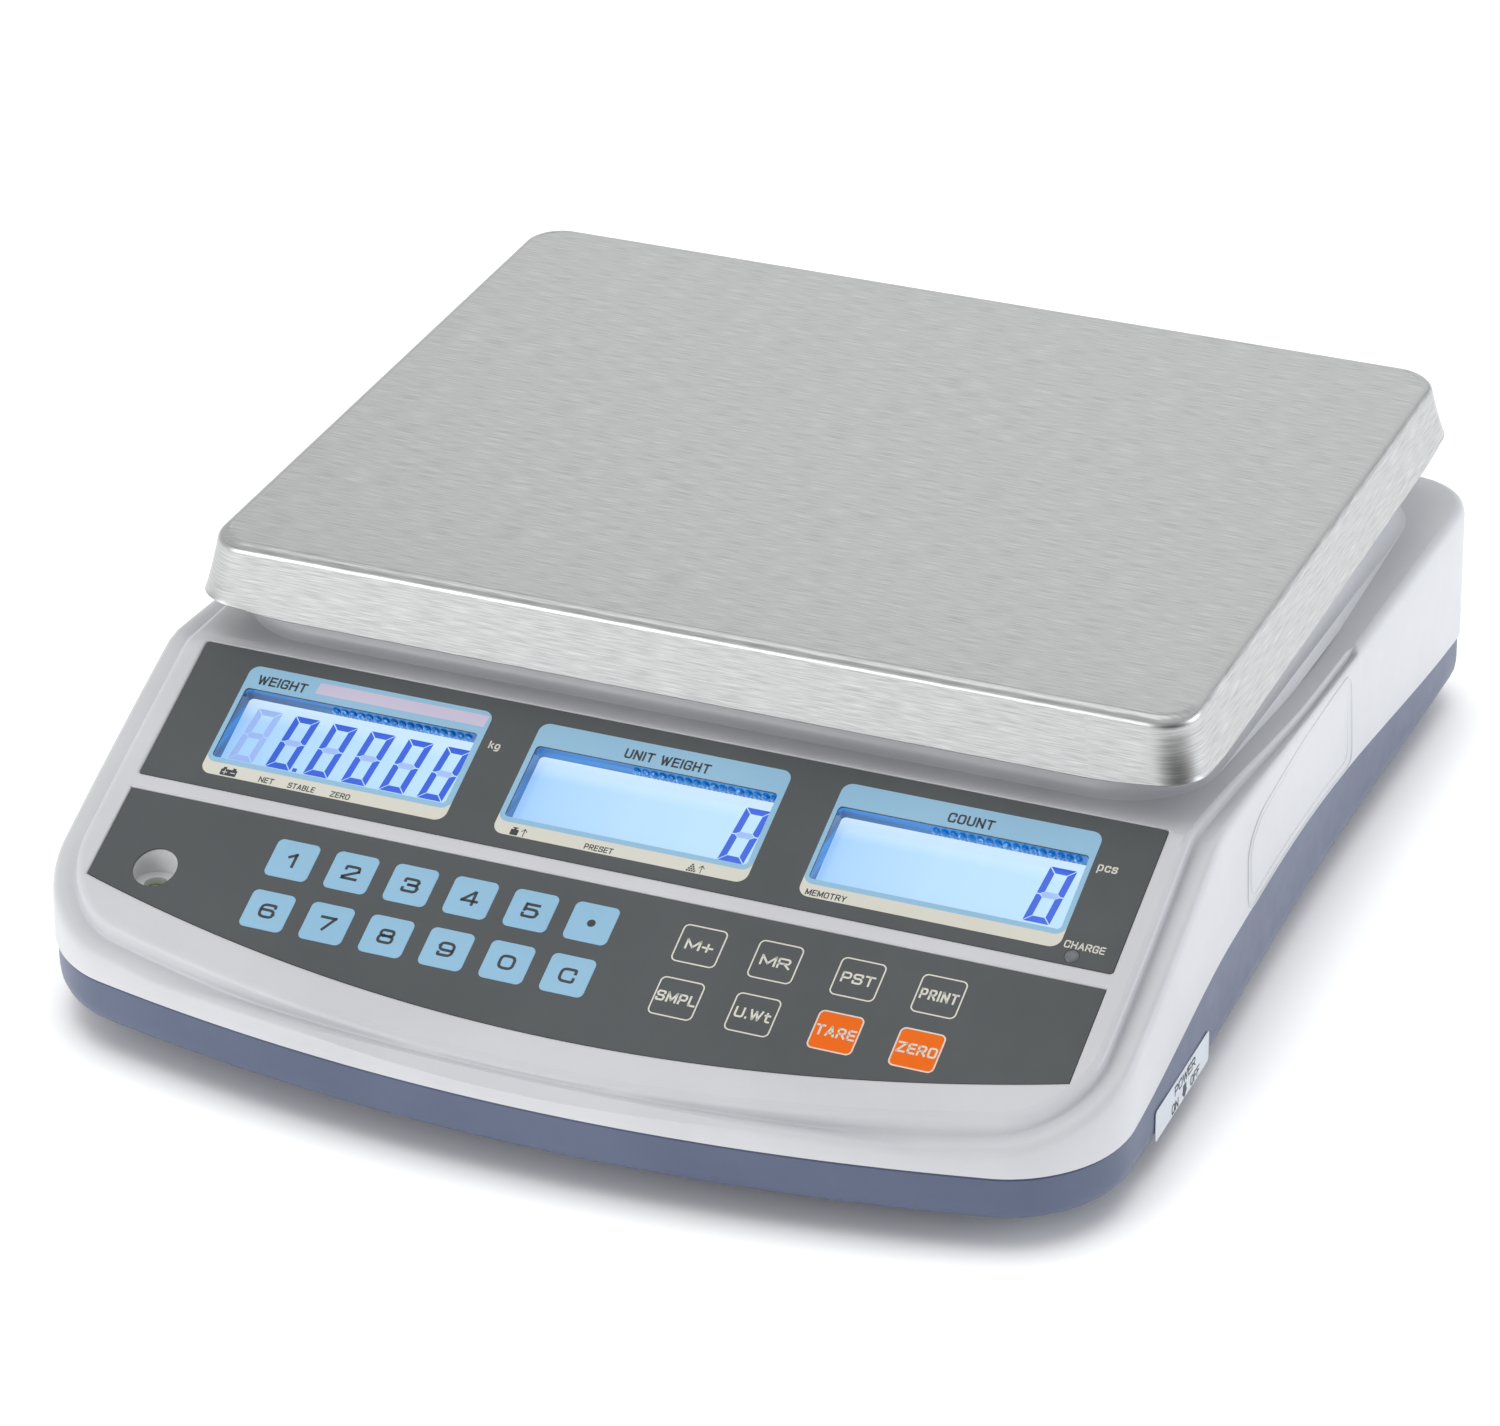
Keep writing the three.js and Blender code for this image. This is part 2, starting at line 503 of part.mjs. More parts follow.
const padBottom = SPIDER_Z + SPIDER_THICKNESS + GAP;
const padHeight = TOTAL_HEIGHT - PAN_SHEET - GAP - padBottom;
PAD_AT.forEach(([x, y], i) => {
  place(scale, `pan_pad_${i + 1}`, new THREE.LatheGeometry([
    new THREE.Vector2(0, 0), new THREE.Vector2(9, 0), new THREE.Vector2(8, padHeight - 1),
    new THREE.Vector2(7, padHeight), new THREE.Vector2(0, padHeight)], 16).rotateX(Math.PI / 2),
  RUBBER, x, y + PAN_Y, padBottom);
});

const panRing = (grow, drop, radius) => roundedRing(PAN_WIDTH + 2 * grow, PAN_DEPTH + 2 * grow, radius, 7)
  .map((p) => {
    const atRim = drop >= PAN_SKIRT ? CORNER_LIFT * p.corner : 0;
    return new THREE.Vector3(p.x, p.y + PAN_Y, TOTAL_HEIGHT - drop + atRim);
  });
const flareAt = (drop) => (PAN_FLARE * (drop - PAN_EDGE)) / (PAN_SKIRT - PAN_EDGE);
const edgeArc = [0, 30, 60, 90].map((degrees) => THREE.MathUtils.degToRad(degrees));
place(scale, 'weighing_pan', loft([
  panRing(-PAN_EDGE - 2, PAN_SHEET, PAN_CORNER - 4),
  panRing(-PAN_SHEET - 0.8, PAN_SHEET + 1.4, PAN_CORNER - PAN_SHEET),
  panRing(-PAN_SHEET, PAN_EDGE + 0.6, PAN_CORNER - PAN_SHEET),
  panRing(PAN_FLARE - PAN_SHEET, PAN_SKIRT, PAN_CORNER + PAN_FLARE - PAN_SHEET),
  panRing(flareAt(PAN_SKIRT), PAN_SKIRT, PAN_CORNER + PAN_FLARE),
  ...edgeArc.map((a) => panRing(-PAN_EDGE * (1 - Math.cos(a)), PAN_EDGE * (1 - Math.sin(a)), PAN_CORNER - PAN_EDGE
    * (1 - Math.cos(a)) * 0.6)),
]), STAINLESS);

// ---------------------------------------------------------------- feet

FOOT_AT.forEach(([x, y], i) => {
  place(scale, `foot_screw_${i + 1}`, join(
    post(STUD_RADIUS, 15.6, 0, 0, 4.8, 16),
    post(FOOT_RADIUS - 2, 3.6, 0, 0, 4.8, 24)), ZINC, x, y, 0);
  place(scale, `foot_pad_${i + 1}`, new THREE.LatheGeometry([
    new THREE.Vector2(0, 0), new THREE.Vector2(FOOT_RADIUS - 1.6, 0), new THREE.Vector2(FOOT_RADIUS, 1.2),
    new THREE.Vector2(FOOT_RADIUS, 4.5), new THREE.Vector2(0, 4.5)], 24).rotateX(Math.PI / 2), RUBBER, x, y, 0);
});

// ---------------------------------------------------------------- switch, jack, port, label

const switchGroup = new THREE.Group();
switchGroup.position.set(...SWITCH_AT, BASE_Z);
scale.add(switchGroup);
const [switchWidth, switchLength] = SWITCH_SIZE;
place(switchGroup, 'power_switch', cut(
  join(
    block(switchWidth, switchLength, 1.7, 0, 0, -2),
    block(switchWidth - 2.4, switchLength - 2.4, 14, 0, 0, -1)),
  block(switchWidth - 4.6, switchLength - 4.6, 9, 0, 0, -4)), BLACK);
const rocker = new THREE.Shape([
  new THREE.Vector2(-7.2, 1.2), new THREE.Vector2(-7.0, -0.9), new THREE.Vector2(0, 0.3),
  new THREE.Vector2(7.0, -0.9), new THREE.Vector2(7.2, 1.2), new THREE.Vector2(0, 3.6)]);
const rockerMesh = place(switchGroup, 'power_rocker', new THREE.ExtrudeGeometry(
  rocker, { depth: switchWidth - 5.4, bevelEnabled: false }).translate(0, 0, -(switchWidth - 5.4) / 2)
  .applyMatrix4(new THREE.Matrix4().makeBasis(
    new THREE.Vector3(0, 1, 0), new THREE.Vector3(0, 0, 1), new THREE.Vector3(1, 0, 0))), BLACK, 0, 0, -1.2);
rockerMesh.rotation.x = THREE.MathUtils.degToRad(8);

place(scale, 'charging_jack', facingRear(cut(
  join(post(JACK_RADIUS + 2, 1.6, 0, 0, 0), post(JACK_RADIUS, 14, 0, 0, -14)),
  post(3.6, 12, 0, 0, -9.6)), JACK_AT[0], BAY_Y + GAP, JACK_AT[1]), BLACK);

const portBody = join(
  slab(roundedShape(...PORT_SIZE, 2, 3), 0.8, 0, 0, 0),
  block(18.4, 8.2, 12, 0, 0, -11.6),
  slab(roundedShape(18.4, 9.2, 2, 3), 5.5, 0, 0, 0),
  ...[-12.5, 12.5].map((x) => new THREE.CylinderGeometry(2.4, 2.4, 4.6, 6).rotateX(Math.PI / 2)
    .translate(x, 0, 2.3)));
place(scale, 'serial_port', facingRear(cut(
  portBody, slab(roundedShape(16.8, 7.6, 1.6, 3), 12, 0, 0, -2.5)),
PORT_AT[0], BAY_Y + GAP, PORT_AT[1]), ZINC);

place(scale, 'side_label', slab(roundedShape(...LABEL_SIZE, 1, 2), 0.3).applyMatrix4(
  new THREE.Matrix4().makeBasis(
    new THREE.Vector3(0, 1, 0), new THREE.Vector3(0, 0, 1), new THREE.Vector3(1, 0, 0))),
LABEL, sideX(-90) - BASE_INSET + 0.12, -90.7, 15.6);

export default scale;
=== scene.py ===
# %% [markdown]
# # A counting scale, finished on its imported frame
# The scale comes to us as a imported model: plain closed solids in one shared frame, in metres, with the
# bodies that move. Here each visible solid gets its true moulded, printed or brushed skin. The frame is
# loaded first, because every piece below takes its place from it, and nothing in it is moved.

# %% Load the frame
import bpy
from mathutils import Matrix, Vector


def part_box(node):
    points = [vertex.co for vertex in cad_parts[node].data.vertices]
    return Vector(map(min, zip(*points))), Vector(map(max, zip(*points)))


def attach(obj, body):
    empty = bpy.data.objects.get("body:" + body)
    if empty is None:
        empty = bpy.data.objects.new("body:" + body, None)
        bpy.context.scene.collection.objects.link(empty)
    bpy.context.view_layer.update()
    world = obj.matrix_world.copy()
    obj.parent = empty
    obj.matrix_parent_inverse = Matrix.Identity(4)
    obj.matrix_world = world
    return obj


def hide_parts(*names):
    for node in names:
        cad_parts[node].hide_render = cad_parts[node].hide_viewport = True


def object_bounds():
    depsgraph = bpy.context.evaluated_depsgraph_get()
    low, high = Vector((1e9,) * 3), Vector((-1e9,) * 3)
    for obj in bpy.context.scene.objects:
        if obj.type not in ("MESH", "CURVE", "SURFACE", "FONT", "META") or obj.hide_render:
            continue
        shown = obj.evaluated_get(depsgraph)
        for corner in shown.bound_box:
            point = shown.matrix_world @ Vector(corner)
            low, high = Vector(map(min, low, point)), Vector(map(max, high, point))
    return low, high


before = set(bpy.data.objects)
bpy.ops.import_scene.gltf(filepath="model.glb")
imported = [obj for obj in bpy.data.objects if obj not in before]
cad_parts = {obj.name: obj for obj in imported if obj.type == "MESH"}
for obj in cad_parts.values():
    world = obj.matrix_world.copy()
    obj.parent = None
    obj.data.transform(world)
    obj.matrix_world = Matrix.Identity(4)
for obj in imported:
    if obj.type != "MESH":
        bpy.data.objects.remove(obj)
cad_low, cad_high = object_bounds()
print("frame from", [round(c, 4) for c in cad_low], "to", [round(c, 4) for c in cad_high])

# %% [markdown]
# ## Tools of the trade
# Python's own maths, numpy for whole rings of points at once, and Blender. Drawings of a scale are in
# millimetres, so the shapes below are too, and one helper turns them into metres when a mesh is made.

# %% Modules and units
import math
import bpy
import numpy as np
from mathutils import Vector

MM = 0.001
node_box = {name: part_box(name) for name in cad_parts}


def span_mm(name):
    """A node's lowest and highest corner, in millimetres."""
    low, high = node_box[name]
    return np.array(low) / MM, np.array(high) / MM


# %% [markdown]
# ## The housing's measures
# Both shells share one outline: a bowed front, slightly waved sides, a straight back and round corners.
# The numbers could be read off the solids, but they are clearer as named sizes. Heights along the sides
# are functions of the distance from front to back, because the seam, the ledge and the deck all curve.

# %% Measures of the housing
tray_low = span_mm("base_tray")[0]
pan_low, pan_high = span_mm("weighing_pan")
front_y = float(cad_low[1]) / MM
rear_y = float(cad_high[1]) / MM
half_width = 157.4
side_wave = 1.2
front_bow = 8.74e-4
front_corner = 26.0
rear_corner = 20.0
base_z = float(tray_low[2])
wall = 2.6
slope_tilt = math.atan(0.4481)
slope_y = -65.1
slope_z = 77.6
rim = 0.6
pan_y = float(pan_low[1] + pan_high[1]) / 2
pan_width, pan_depth = 294.0, 228.0
plateau_z = 91.0
plateau_width, plateau_depth, plateau_corner = 284.0, 214.0, 24.0
print("housing", round(rear_y - front_y, 1), "mm deep, pan's middle at y", round(pan_y, 1))


# %% Heights along the housing
def ease(t):
    """Smooth step from 0 to 1."""
    s = np.clip(t, 0.0, 1.0)
    return s * s * (3 - 2 * s)


def slope_at(y):
    """Height of the display and key slope."""
    return slope_z + (y - slope_y) * math.tan(slope_tilt)


def seam_at(y):
    """Height of the joint between the two shells, which arches along the sides."""
    fall = np.where(y < -20, 1.0, 0.5 * (1 + np.cos(np.pi * (y + 20) / 210)))
    return 23.5 + 13.7 * ease((y + 150) / 100) * fall


def deck_at(y):
    """Height of the falling deck under the pan."""
    return 77.8 - 10.0 * ease((y + 75) / 150)


def ledge_at(y):
    """Height of the ledge that runs round under the slope's edge and the deck's."""
    return np.clip(slope_at(y) - 3.3, 29.7, deck_at(y) - 1.9)


print("seam", round(float(seam_at(np.float64(-50))), 1), "deck", round(float(deck_at(np.float64(100))), 1))


# %% Outline of the housing
def side_x(y):
    """Half width, wavy along the side."""
    return half_width - side_wave * np.cos(2 * np.pi * (y - 40) / 280)


def bezier_corner(start, middle, end, steps):
    """Round corner that leaves both edges smoothly."""
    a, m, b = (np.array(p, float) for p in (start, middle, end))
    c1 = a + 0.56 * (m - a)
    c2 = b + 0.56 * (m - b)
    t = np.linspace(0, 1, steps + 1)[:, None]
    return (1 - t) ** 3 * a + 3 * t * (1 - t) ** 2 * c1 + 3 * t * t * (1 - t) * c2 + t ** 3 * b


side_steps = np.sort(np.append(np.linspace(0, 1, 66)[1:-1], [0.6705, 0.674, 0.6775, 0.681, 0.688, 0.6915]))


def housing_outline(inset):
    """Points round the housing at an inset, anticlockwise from the middle of the front."""
    front = front_corner - 0.8 * inset
    rear = rear_corner - 0.8 * inset
    corner_x = float(side_x(front_y)) - inset
    front_end = corner_x - front
    side_start = front_y + front_bow * corner_x ** 2 + inset + front
    back = rear_y - inset
    side_end = back - rear
    corner_rear_x = float(side_x(back)) - inset
    xs = np.linspace(0, front_end, 31)[:-1]
    bowed = np.column_stack([xs, front_y + front_bow * xs ** 2 + inset])
    turn = bezier_corner(
        (front_end, front_y + front_bow * front_end ** 2 + inset),
        (corner_x, front_y + front_bow * corner_x ** 2 + inset),
        (float(side_x(side_start)) - inset, side_start), 18)
    ys = side_start + (side_end - side_start) * side_steps
    side = np.column_stack([side_x(ys) - inset, ys])
    back_turn = bezier_corner(
        (float(side_x(side_end)) - inset, side_end), (corner_rear_x, back), (corner_rear_x - rear, back), 14)
    across = np.linspace(corner_rear_x - rear, 0, 13)[1:]
    back_edge = np.column_stack([across, np.full(len(across), back)])
    half = np.vstack([bowed, turn, side, back_turn, back_edge])
    other = half[1:-1][::-1] * [-1, 1]
    return np.vstack([half, other])


print(len(housing_outline(0)), "points round the housing")

# %% [markdown]
# ## Making solids
# Most pieces are lofts: a skin through a stack of rings, closed at both ends. It is the digital form of a
# mould's parting lines, and it gives us each rounding exactly where we want it. Openings are then cut with
# the Boolean modifier, as a toolmaker would sink them.


# %% Rings and lofts
def ring_at(inset, height):
    """A housing ring in space; height is a number or a function of y."""
    flat = housing_outline(inset)
    z = height(flat[:, 1]) if callable(height) else np.full(len(flat), float(height))
    return np.column_stack([flat, z])


def loft(rings):
    """Points and faces of a closed skin through equal rings, each end closed by a fan."""
    n = len(rings[0])
    points = [tuple(p) for ring in rings for p in ring]
    faces = []
    for r in range(len(rings) - 1):
        for i in range(n):
            j = (i + 1) % n
            faces.append((r * n + i, r * n + j, (r + 1) * n + j, (r + 1) * n + i))
    for ring_number, flip in ((0, True), (len(rings) - 1, False)):
        hub = len(points)
        points.append(tuple(np.mean(rings[ring_number], axis=0)))
        for i in range(n):
            a = ring_number * n + i
            b = ring_number * n + (i + 1) % n
            faces.append((hub, b, a) if flip else (hub, a, b))
    return points, faces


def rounded_ring(width, depth, radius, x=0.0, y=0.0, steps=8):
    """Rectangle with round corners, anticlockwise, as an array of x and y."""
    out = []
    for sx, sy, start in ((1, -1, -90), (1, 1, 0), (-1, 1, 90), (-1, -1, 180)):
        for i in range(steps + 1):
            a = math.radians(start + 90 * i / steps)
            out.append((x + sx * (width / 2 - radius) + radius * math.cos(a),
                        y + sy * (depth / 2 - radius) + radius * math.sin(a)))
    return np.array(out)


def round_ring(radius, x=0.0, y=0.0, sides=48):
    """Circle, anticlockwise."""
    a = np.linspace(0, 2 * np.pi, sides, endpoint=False)
    return np.column_stack([x + radius * np.cos(a), y + radius * np.sin(a)])


def lifted(ring, height):
    """A flat ring at a height."""
    return np.column_stack([ring, np.full(len(ring), float(height))])


def on_slope(points):
    """From the slope's own across, up-slope and outward distances to the frame."""
    u, v, w = np.array(points, float).T
    c, s = math.cos(slope_tilt), math.sin(slope_tilt)
    return np.column_stack([u, slope_y + v * c - w * s, slope_z + v * s + w * c])


print("loft of two squares has", len(loft([lifted(rounded_ring(2, 2, 0.5), z) for z in (0, 1)])[1]), "faces")


# %% Meshes, objects and cutting
def raw_object(name, points, faces):
    """An object from points in millimetres."""
    mesh = bpy.data.meshes.new(name)
    mesh.from_pydata([(x * MM, y * MM, z * MM) for x, y, z in points], [], [tuple(f) for f in faces])
    mesh.update()
    obj = bpy.data.objects.new(name, mesh)
    bpy.context.scene.collection.objects.link(obj)
    return obj


def gathered(parts):
    """Several (points, faces) lists as one."""
    points, faces = [], []
    for part_points, part_faces in parts:
        start = len(points)
        points += [tuple(p) for p in part_points]
        faces += [tuple(start + i for i in f) for f in part_faces]
    return points, faces


def carve(stock, shape, operation="DIFFERENCE"):
    """Cuts, joins or keeps the common part of an object and a solid, then forgets the tool."""
    tool = raw_object("tool", *shape)
    step = stock.modifiers.new("carve", "BOOLEAN")
    step.object = tool
    step.operation = operation
    step.solver = "EXACT"
    bpy.context.view_layer.update()
    ready = stock.evaluated_get(bpy.context.evaluated_depsgraph_get())
    result = bpy.data.meshes.new_from_object(ready)
    stock.modifiers.clear()
    stock.data = result
    bpy.data.objects.remove(tool)
    return stock


def dressed(obj, finish, body, crease=32, replaces=()):
    """Smooth shading with real edges kept crisp, a finish, a body to ride on, and what it stands for."""
    mesh = obj.data
    mesh.polygons.foreach_set("use_smooth", [True] * len(mesh.polygons))
    mesh.set_sharp_from_angle(angle=math.radians(crease))
    mesh.materials.clear()
    mesh.materials.append(finish)
    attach(obj, body)
    if replaces:
        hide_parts(*replaces)
    return obj


print("solids can be cut")

# %% [markdown]
# ## Finishes
# Moulded plastic is never one flat colour: it has a fine spark-eroded texture from the mould, slight
# clouding, and gloss that varies a little. Every finish below starts from the same few moves: cloud the
# colour, vary the gloss, raise a fine grain. Only the pan is unwrapped; the rest use noise in object space.


# %% Moves that finishes share
def linear(colour):
    """A colour given as 0 to 255 per channel, as light."""
    out = []
    for channel in colour:
        c = channel / 255
        out.append(c / 12.92 if c <= 0.04045 else ((c + 0.055) / 1.055) ** 2.4)
    return (*out, 1.0)


def new_finish(name, colour, roughness, metallic=0.0):
    """A finish with its shader's own values set."""
    finish = bpy.data.materials.new(name)
    finish.use_nodes = True
    shader = finish.node_tree.nodes["Principled BSDF"]
    shader.inputs["Base Color"].default_value = linear(colour)
    shader.inputs["Roughness"].default_value = roughness
    shader.inputs["Metallic"].default_value = metallic
    finish.diffuse_color = linear(colour)
    return finish


def node(finish, kind, **values):
    """Adds a node and sets its inputs by name."""
    made = finish.node_tree.nodes.new(kind)
    for key, value in values.items():
        made.inputs[key.replace("_", " ")].default_value = value
    return made


def wire(finish, source, target):
    """Joins an output socket to an input socket."""
    finish.node_tree.links.new(source, target)


def shader_of(finish):
    """The finish's shader node."""
    return finish.node_tree.nodes["Principled BSDF"]


def place_on(finish, stretch=(1, 1, 1), source="Object"):
    """Coordinates of the object, or of its unfolded sheet ("UV"), stretched."""
    place = finish.node_tree.nodes.new("ShaderNodeTexCoord")
    mapping = node(finish, "ShaderNodeMapping", Scale=stretch)
    wire(finish, place.outputs[source], mapping.inputs["Vector"])
    return mapping.outputs["Vector"]


def noise(finish, scale, detail=3.0, stretch=(1, 1, 1), source="Object"):
    """Noise of about scale waves per metre."""
    made = node(finish, "ShaderNodeTexNoise", Scale=scale, Detail=detail)
    wire(finish, place_on(finish, stretch, source), made.inputs["Vector"])
    return made.outputs["Fac"]


def clouded(finish, dark, light, scale, stretch=(1, 1, 1), low=0.35, high=0.65, source="Object"):
    """Colour that drifts between two close shades."""
    ramp = finish.node_tree.nodes.new("ShaderNodeValToRGB")
    ramp.color_ramp.elements[0].position = low
    ramp.color_ramp.elements[0].color = linear(dark)
    ramp.color_ramp.elements[1].position = high
    ramp.color_ramp.elements[1].color = linear(light)
    wire(finish, noise(finish, scale, 4.0, stretch, source), ramp.inputs["Fac"])
    wire(finish, ramp.outputs["Color"], shader_of(finish).inputs["Base Color"])
    return ramp


def uneven_gloss(finish, low, high, scale, stretch=(1, 1, 1), source="Object"):
    """Roughness that varies between two values."""
    spread = node(finish, "ShaderNodeMapRange")
    spread.inputs["To Min"].default_value = low
    spread.inputs["To Max"].default_value = high
    wire(finish, noise(finish, scale, 2.0, stretch, source), spread.inputs["Value"])
    wire(finish, spread.outputs["Result"], shader_of(finish).inputs["Roughness"])


def grained(finish, scale, depth_mm, strength=0.5, stretch=(1, 1, 1), source="Object"):
    """Fine relief, depth in millimetres."""
    bump = node(finish, "ShaderNodeBump", Strength=strength, Distance=depth_mm * MM)
    wire(finish, noise(finish, scale, 2.0, stretch, source), bump.inputs["Height"])
    wire(finish, bump.outputs["Normal"], shader_of(finish).inputs["Normal"])


def moulded(name, dark, light, roughness, grain=2600, depth_mm=0.02):
    """Injection-moulded plastic."""
    finish = new_finish(name, light, roughness)
    clouded(finish, dark, light, 22)
    uneven_gloss(finish, roughness - 0.05, roughness + 0.06, 160)
    grained(finish, grain, depth_mm, 0.35)
    return finish


print("moves ready: colour, gloss and grain")


# %% Plastics, films and rubber
white_plastic = moulded("white moulded plastic", (200, 201, 205), (206, 207, 211), 0.36)
blue_plastic = moulded("blue-grey moulded plastic", (74, 85, 112), (82, 93, 120), 0.38)
black_plastic = moulded("black moulded plastic", (26, 27, 29), (34, 35, 38), 0.42)
black_rubber = moulded("black rubber", (30, 31, 33), (44, 45, 47), 0.78, 900, 0.06)
graphite_film = moulded("graphite printed film", (71, 75, 77), (75, 79, 81), 0.52, 3400, 0.008)
sky_ink = moulded("sky blue ink", (142, 188, 217), (148, 192, 220), 0.5, 3400, 0.006)
cream_ink = moulded("cream ink", (214, 212, 199), (219, 217, 205), 0.5, 3400, 0.006)
orange_ink = moulded("orange ink", (236, 103, 0), (241, 110, 0), 0.62, 3400, 0.006)
dark_ink = moulded("dark ink", (44, 49, 54), (52, 57, 62), 0.5, 3400, 0.006)
lilac_ink = moulded("lilac ink", (199, 190, 214), (205, 197, 219), 0.5, 3400, 0.006)
label_film = moulded("pale label film", (199, 206, 213), (206, 212, 218), 0.4, 3000, 0.006)
shader_of(orange_ink).inputs["Specular IOR Level"].default_value = 0.25
print("plastics and inks:", len(bpy.data.materials))

# %% [markdown]
# ## Metals
# The pan is stainless steel brushed across its width. Two things make that look: long fine streaks, and
# a highlight that spreads across the streaks. The streaks are noise stretched about thirty times one way; the
# spread comes from the shader's anisotropy. Both follow a map that says which way the brush went.

# %% Metals
brushed_steel = new_finish("brushed stainless steel", (182, 183, 183), 0.3, 1.0)
steel_streak = (110, 3000, 1)
clouded(brushed_steel, (163, 164, 164), (200, 201, 201), 1.0, steel_streak, 0.3, 0.7, "UV")
uneven_gloss(brushed_steel, 0.27, 0.36, 0.7, steel_streak, "UV")
grained(brushed_steel, 1.0, 0.006, 0.3, steel_streak, "UV")
brush_way = brushed_steel.node_tree.nodes.new("ShaderNodeTangent")
brush_way.direction_type = "UV_MAP"
brush_way.uv_map = "brushing"
wire(brushed_steel, brush_way.outputs["Tangent"], shader_of(brushed_steel).inputs["Tangent"])
shader_of(brushed_steel).inputs["Anisotropic"].default_value = 0.7

zinc = new_finish("zinc-plated steel", (168, 172, 178), 0.34, 1.0)
clouded(zinc, (150, 154, 160), (182, 185, 188), 120)
uneven_gloss(zinc, 0.26, 0.42, 300)
grained(zinc, 900, 0.015, 0.3)
aluminium = new_finish("cast aluminium", (172, 175, 180), 0.45, 1.0)
clouded(aluminium, (160, 163, 168), (182, 185, 190), 60)
uneven_gloss(aluminium, 0.38, 0.52, 240)
grained(aluminium, 1300, 0.03, 0.4)
print("metals ready")

# %% [markdown]
# ## The top cover
# On the real scale this is one white moulding: side walls, a ledge and groove that run round the front, the
# raised slope that carries the overlays, and the deck under the pan. A subdivided cage would blur the ledge,
# so the wall is lofted ring by ring through its true section, and the roof is cut to its profile.

# %% Section of the cover's edge
ledge_end_y = 64.0


def edge_blend(y):
    """1 where the ledge and groove run, 0 behind them."""
    return 1 - ease((y - ledge_end_y) / 3.4)


def roof_at(y):
    """Top of the slope's border and of the deck, with a soft bend between them."""
    bend = ease((y - (slope_y - 5.0)) / 9.0)
    return (1 - bend) * (slope_at(np.minimum(y, slope_y + 1.5)) + rim) + bend * deck_at(y)


def edge_ring(inset_front, z_front, inset_rear, z_rear):
    """One ring of the edge: the front section narrows along the sides, then becomes the rear section."""
    y = housing_outline(0)[:, 1]
    narrowing = ease((y + 75) / 105)[:, None]
    share = edge_blend(y)[:, None]
    near = ring_at(inset_front, z_front) * (1 - narrowing) + ring_at(0.4 * inset_front, z_front) * narrowing
    return near * share + ring_at(inset_rear, z_rear) * (1 - share)


def lip(drop):
    """Height near the ledge's outer edge."""
    return lambda y: ledge_at(y) + 0.7 - drop


def groove(rise):
    """Height in the groove inside the ledge."""
    return lambda y: ledge_at(y) - 0.5 + rise


def border(drop):
    """Height of the slope's border, never below the ledge."""
    return lambda y: np.maximum(roof_at(y) - drop, ledge_at(y) - 0.3)


def shoulder(drop):
    """Height of the rounded edge between wall and deck, behind the ledge."""
    return lambda y: deck_at(y) - drop


seam_rings = [(0.5, 0.4), (0.12, 0.55), (0.0, 0.9)]
edge_rings = [
    (0.25, lip(4.0), 0.3, shoulder(4.6)), (0.45, lip(2.4), 0.42, shoulder(3.2)),
    (0.75, lip(1.3), 0.6, shoulder(2.2)), (1.3, lip(0.5), 0.9, shoulder(1.45)),
    (2.0, lip(0.1), 1.3, shoulder(0.9)), (2.8, lip(0.0), 1.75, shoulder(0.5)),
    (4.2, lip(0.25), 2.2, shoulder(0.25)), (5.8, lip(0.8), 2.7, shoulder(0.09)),
    (6.6, groove(0.05), 3.2, shoulder(0.01)), (7.1, groove(0.0), 3.3, shoulder(-1.0)),
    (7.35, groove(0.25), 3.4, shoulder(-2.0)), (7.5, groove(0.7), 3.5, shoulder(-3.0)),
    (7.65, border(1.5), 3.6, shoulder(-4.0)), (7.85, border(0.95), 3.7, shoulder(-5.0)),
    (8.25, border(0.5), 3.8, shoulder(-6.0)), (8.85, border(0.2), 3.9, shoulder(-7.0)),
    (9.6, border(0.03), 4.0, shoulder(-8.0)), (9.7, 120.0, 4.1, 120.0)]
cover_rings = [ring_at(i, lambda y, h=h: seam_at(y) + h) for i, h in seam_rings]
cover_rings += [edge_ring(*row) for row in edge_rings]
cover_shape = loft(cover_rings)
print("cover section of", len(cover_rings), "rings")


# %% Roof profile and raised middle
def under_roof(drop, ys, half=200.0):
    """A solid bar across the whole width, its top the roof's profile less a drop."""
    tops = [(y, float(roof_at(np.float64(y))) - drop) for y in ys]
    profile = [(ys[0], -60.0), (ys[-1], -60.0), *reversed(tops)]
    ring_low = [(-half, y, z) for y, z in profile]
    ring_high = [(half, y, z) for y, z in profile]
    n = len(profile)
    faces = [tuple(reversed(range(n, 2 * n))), tuple(range(n))]
    faces += [(i, n + i, n + (i + 1) % n, (i + 1) % n) for i in range(n)]
    return ring_low + ring_high, faces


roof_ys = sorted({-200.0, slope_y - 5.0, *np.linspace(slope_y - 5, slope_y + 4, 13).round(3),
                  *np.linspace(slope_y + 4, 190, 40).round(3), 200.0})


plateau_foot = ((4.8, -3.0), (3.4, 0.02), (2.2, 0.4), (1.3, 1.0), (0.6, 1.9), (0.2, 3.2), (0.02, 5.0))
plateau_brow = ((0.0, 1.6), (0.25, 0.9), (0.7, 0.35), (1.5, 0.0))


def plateau_ring(grow):
    """Flat outline of the raised middle, larger or smaller."""
    return rounded_ring(plateau_width + 2 * grow, plateau_depth + 2 * grow, plateau_corner + grow,
                        0, pan_y, 10)


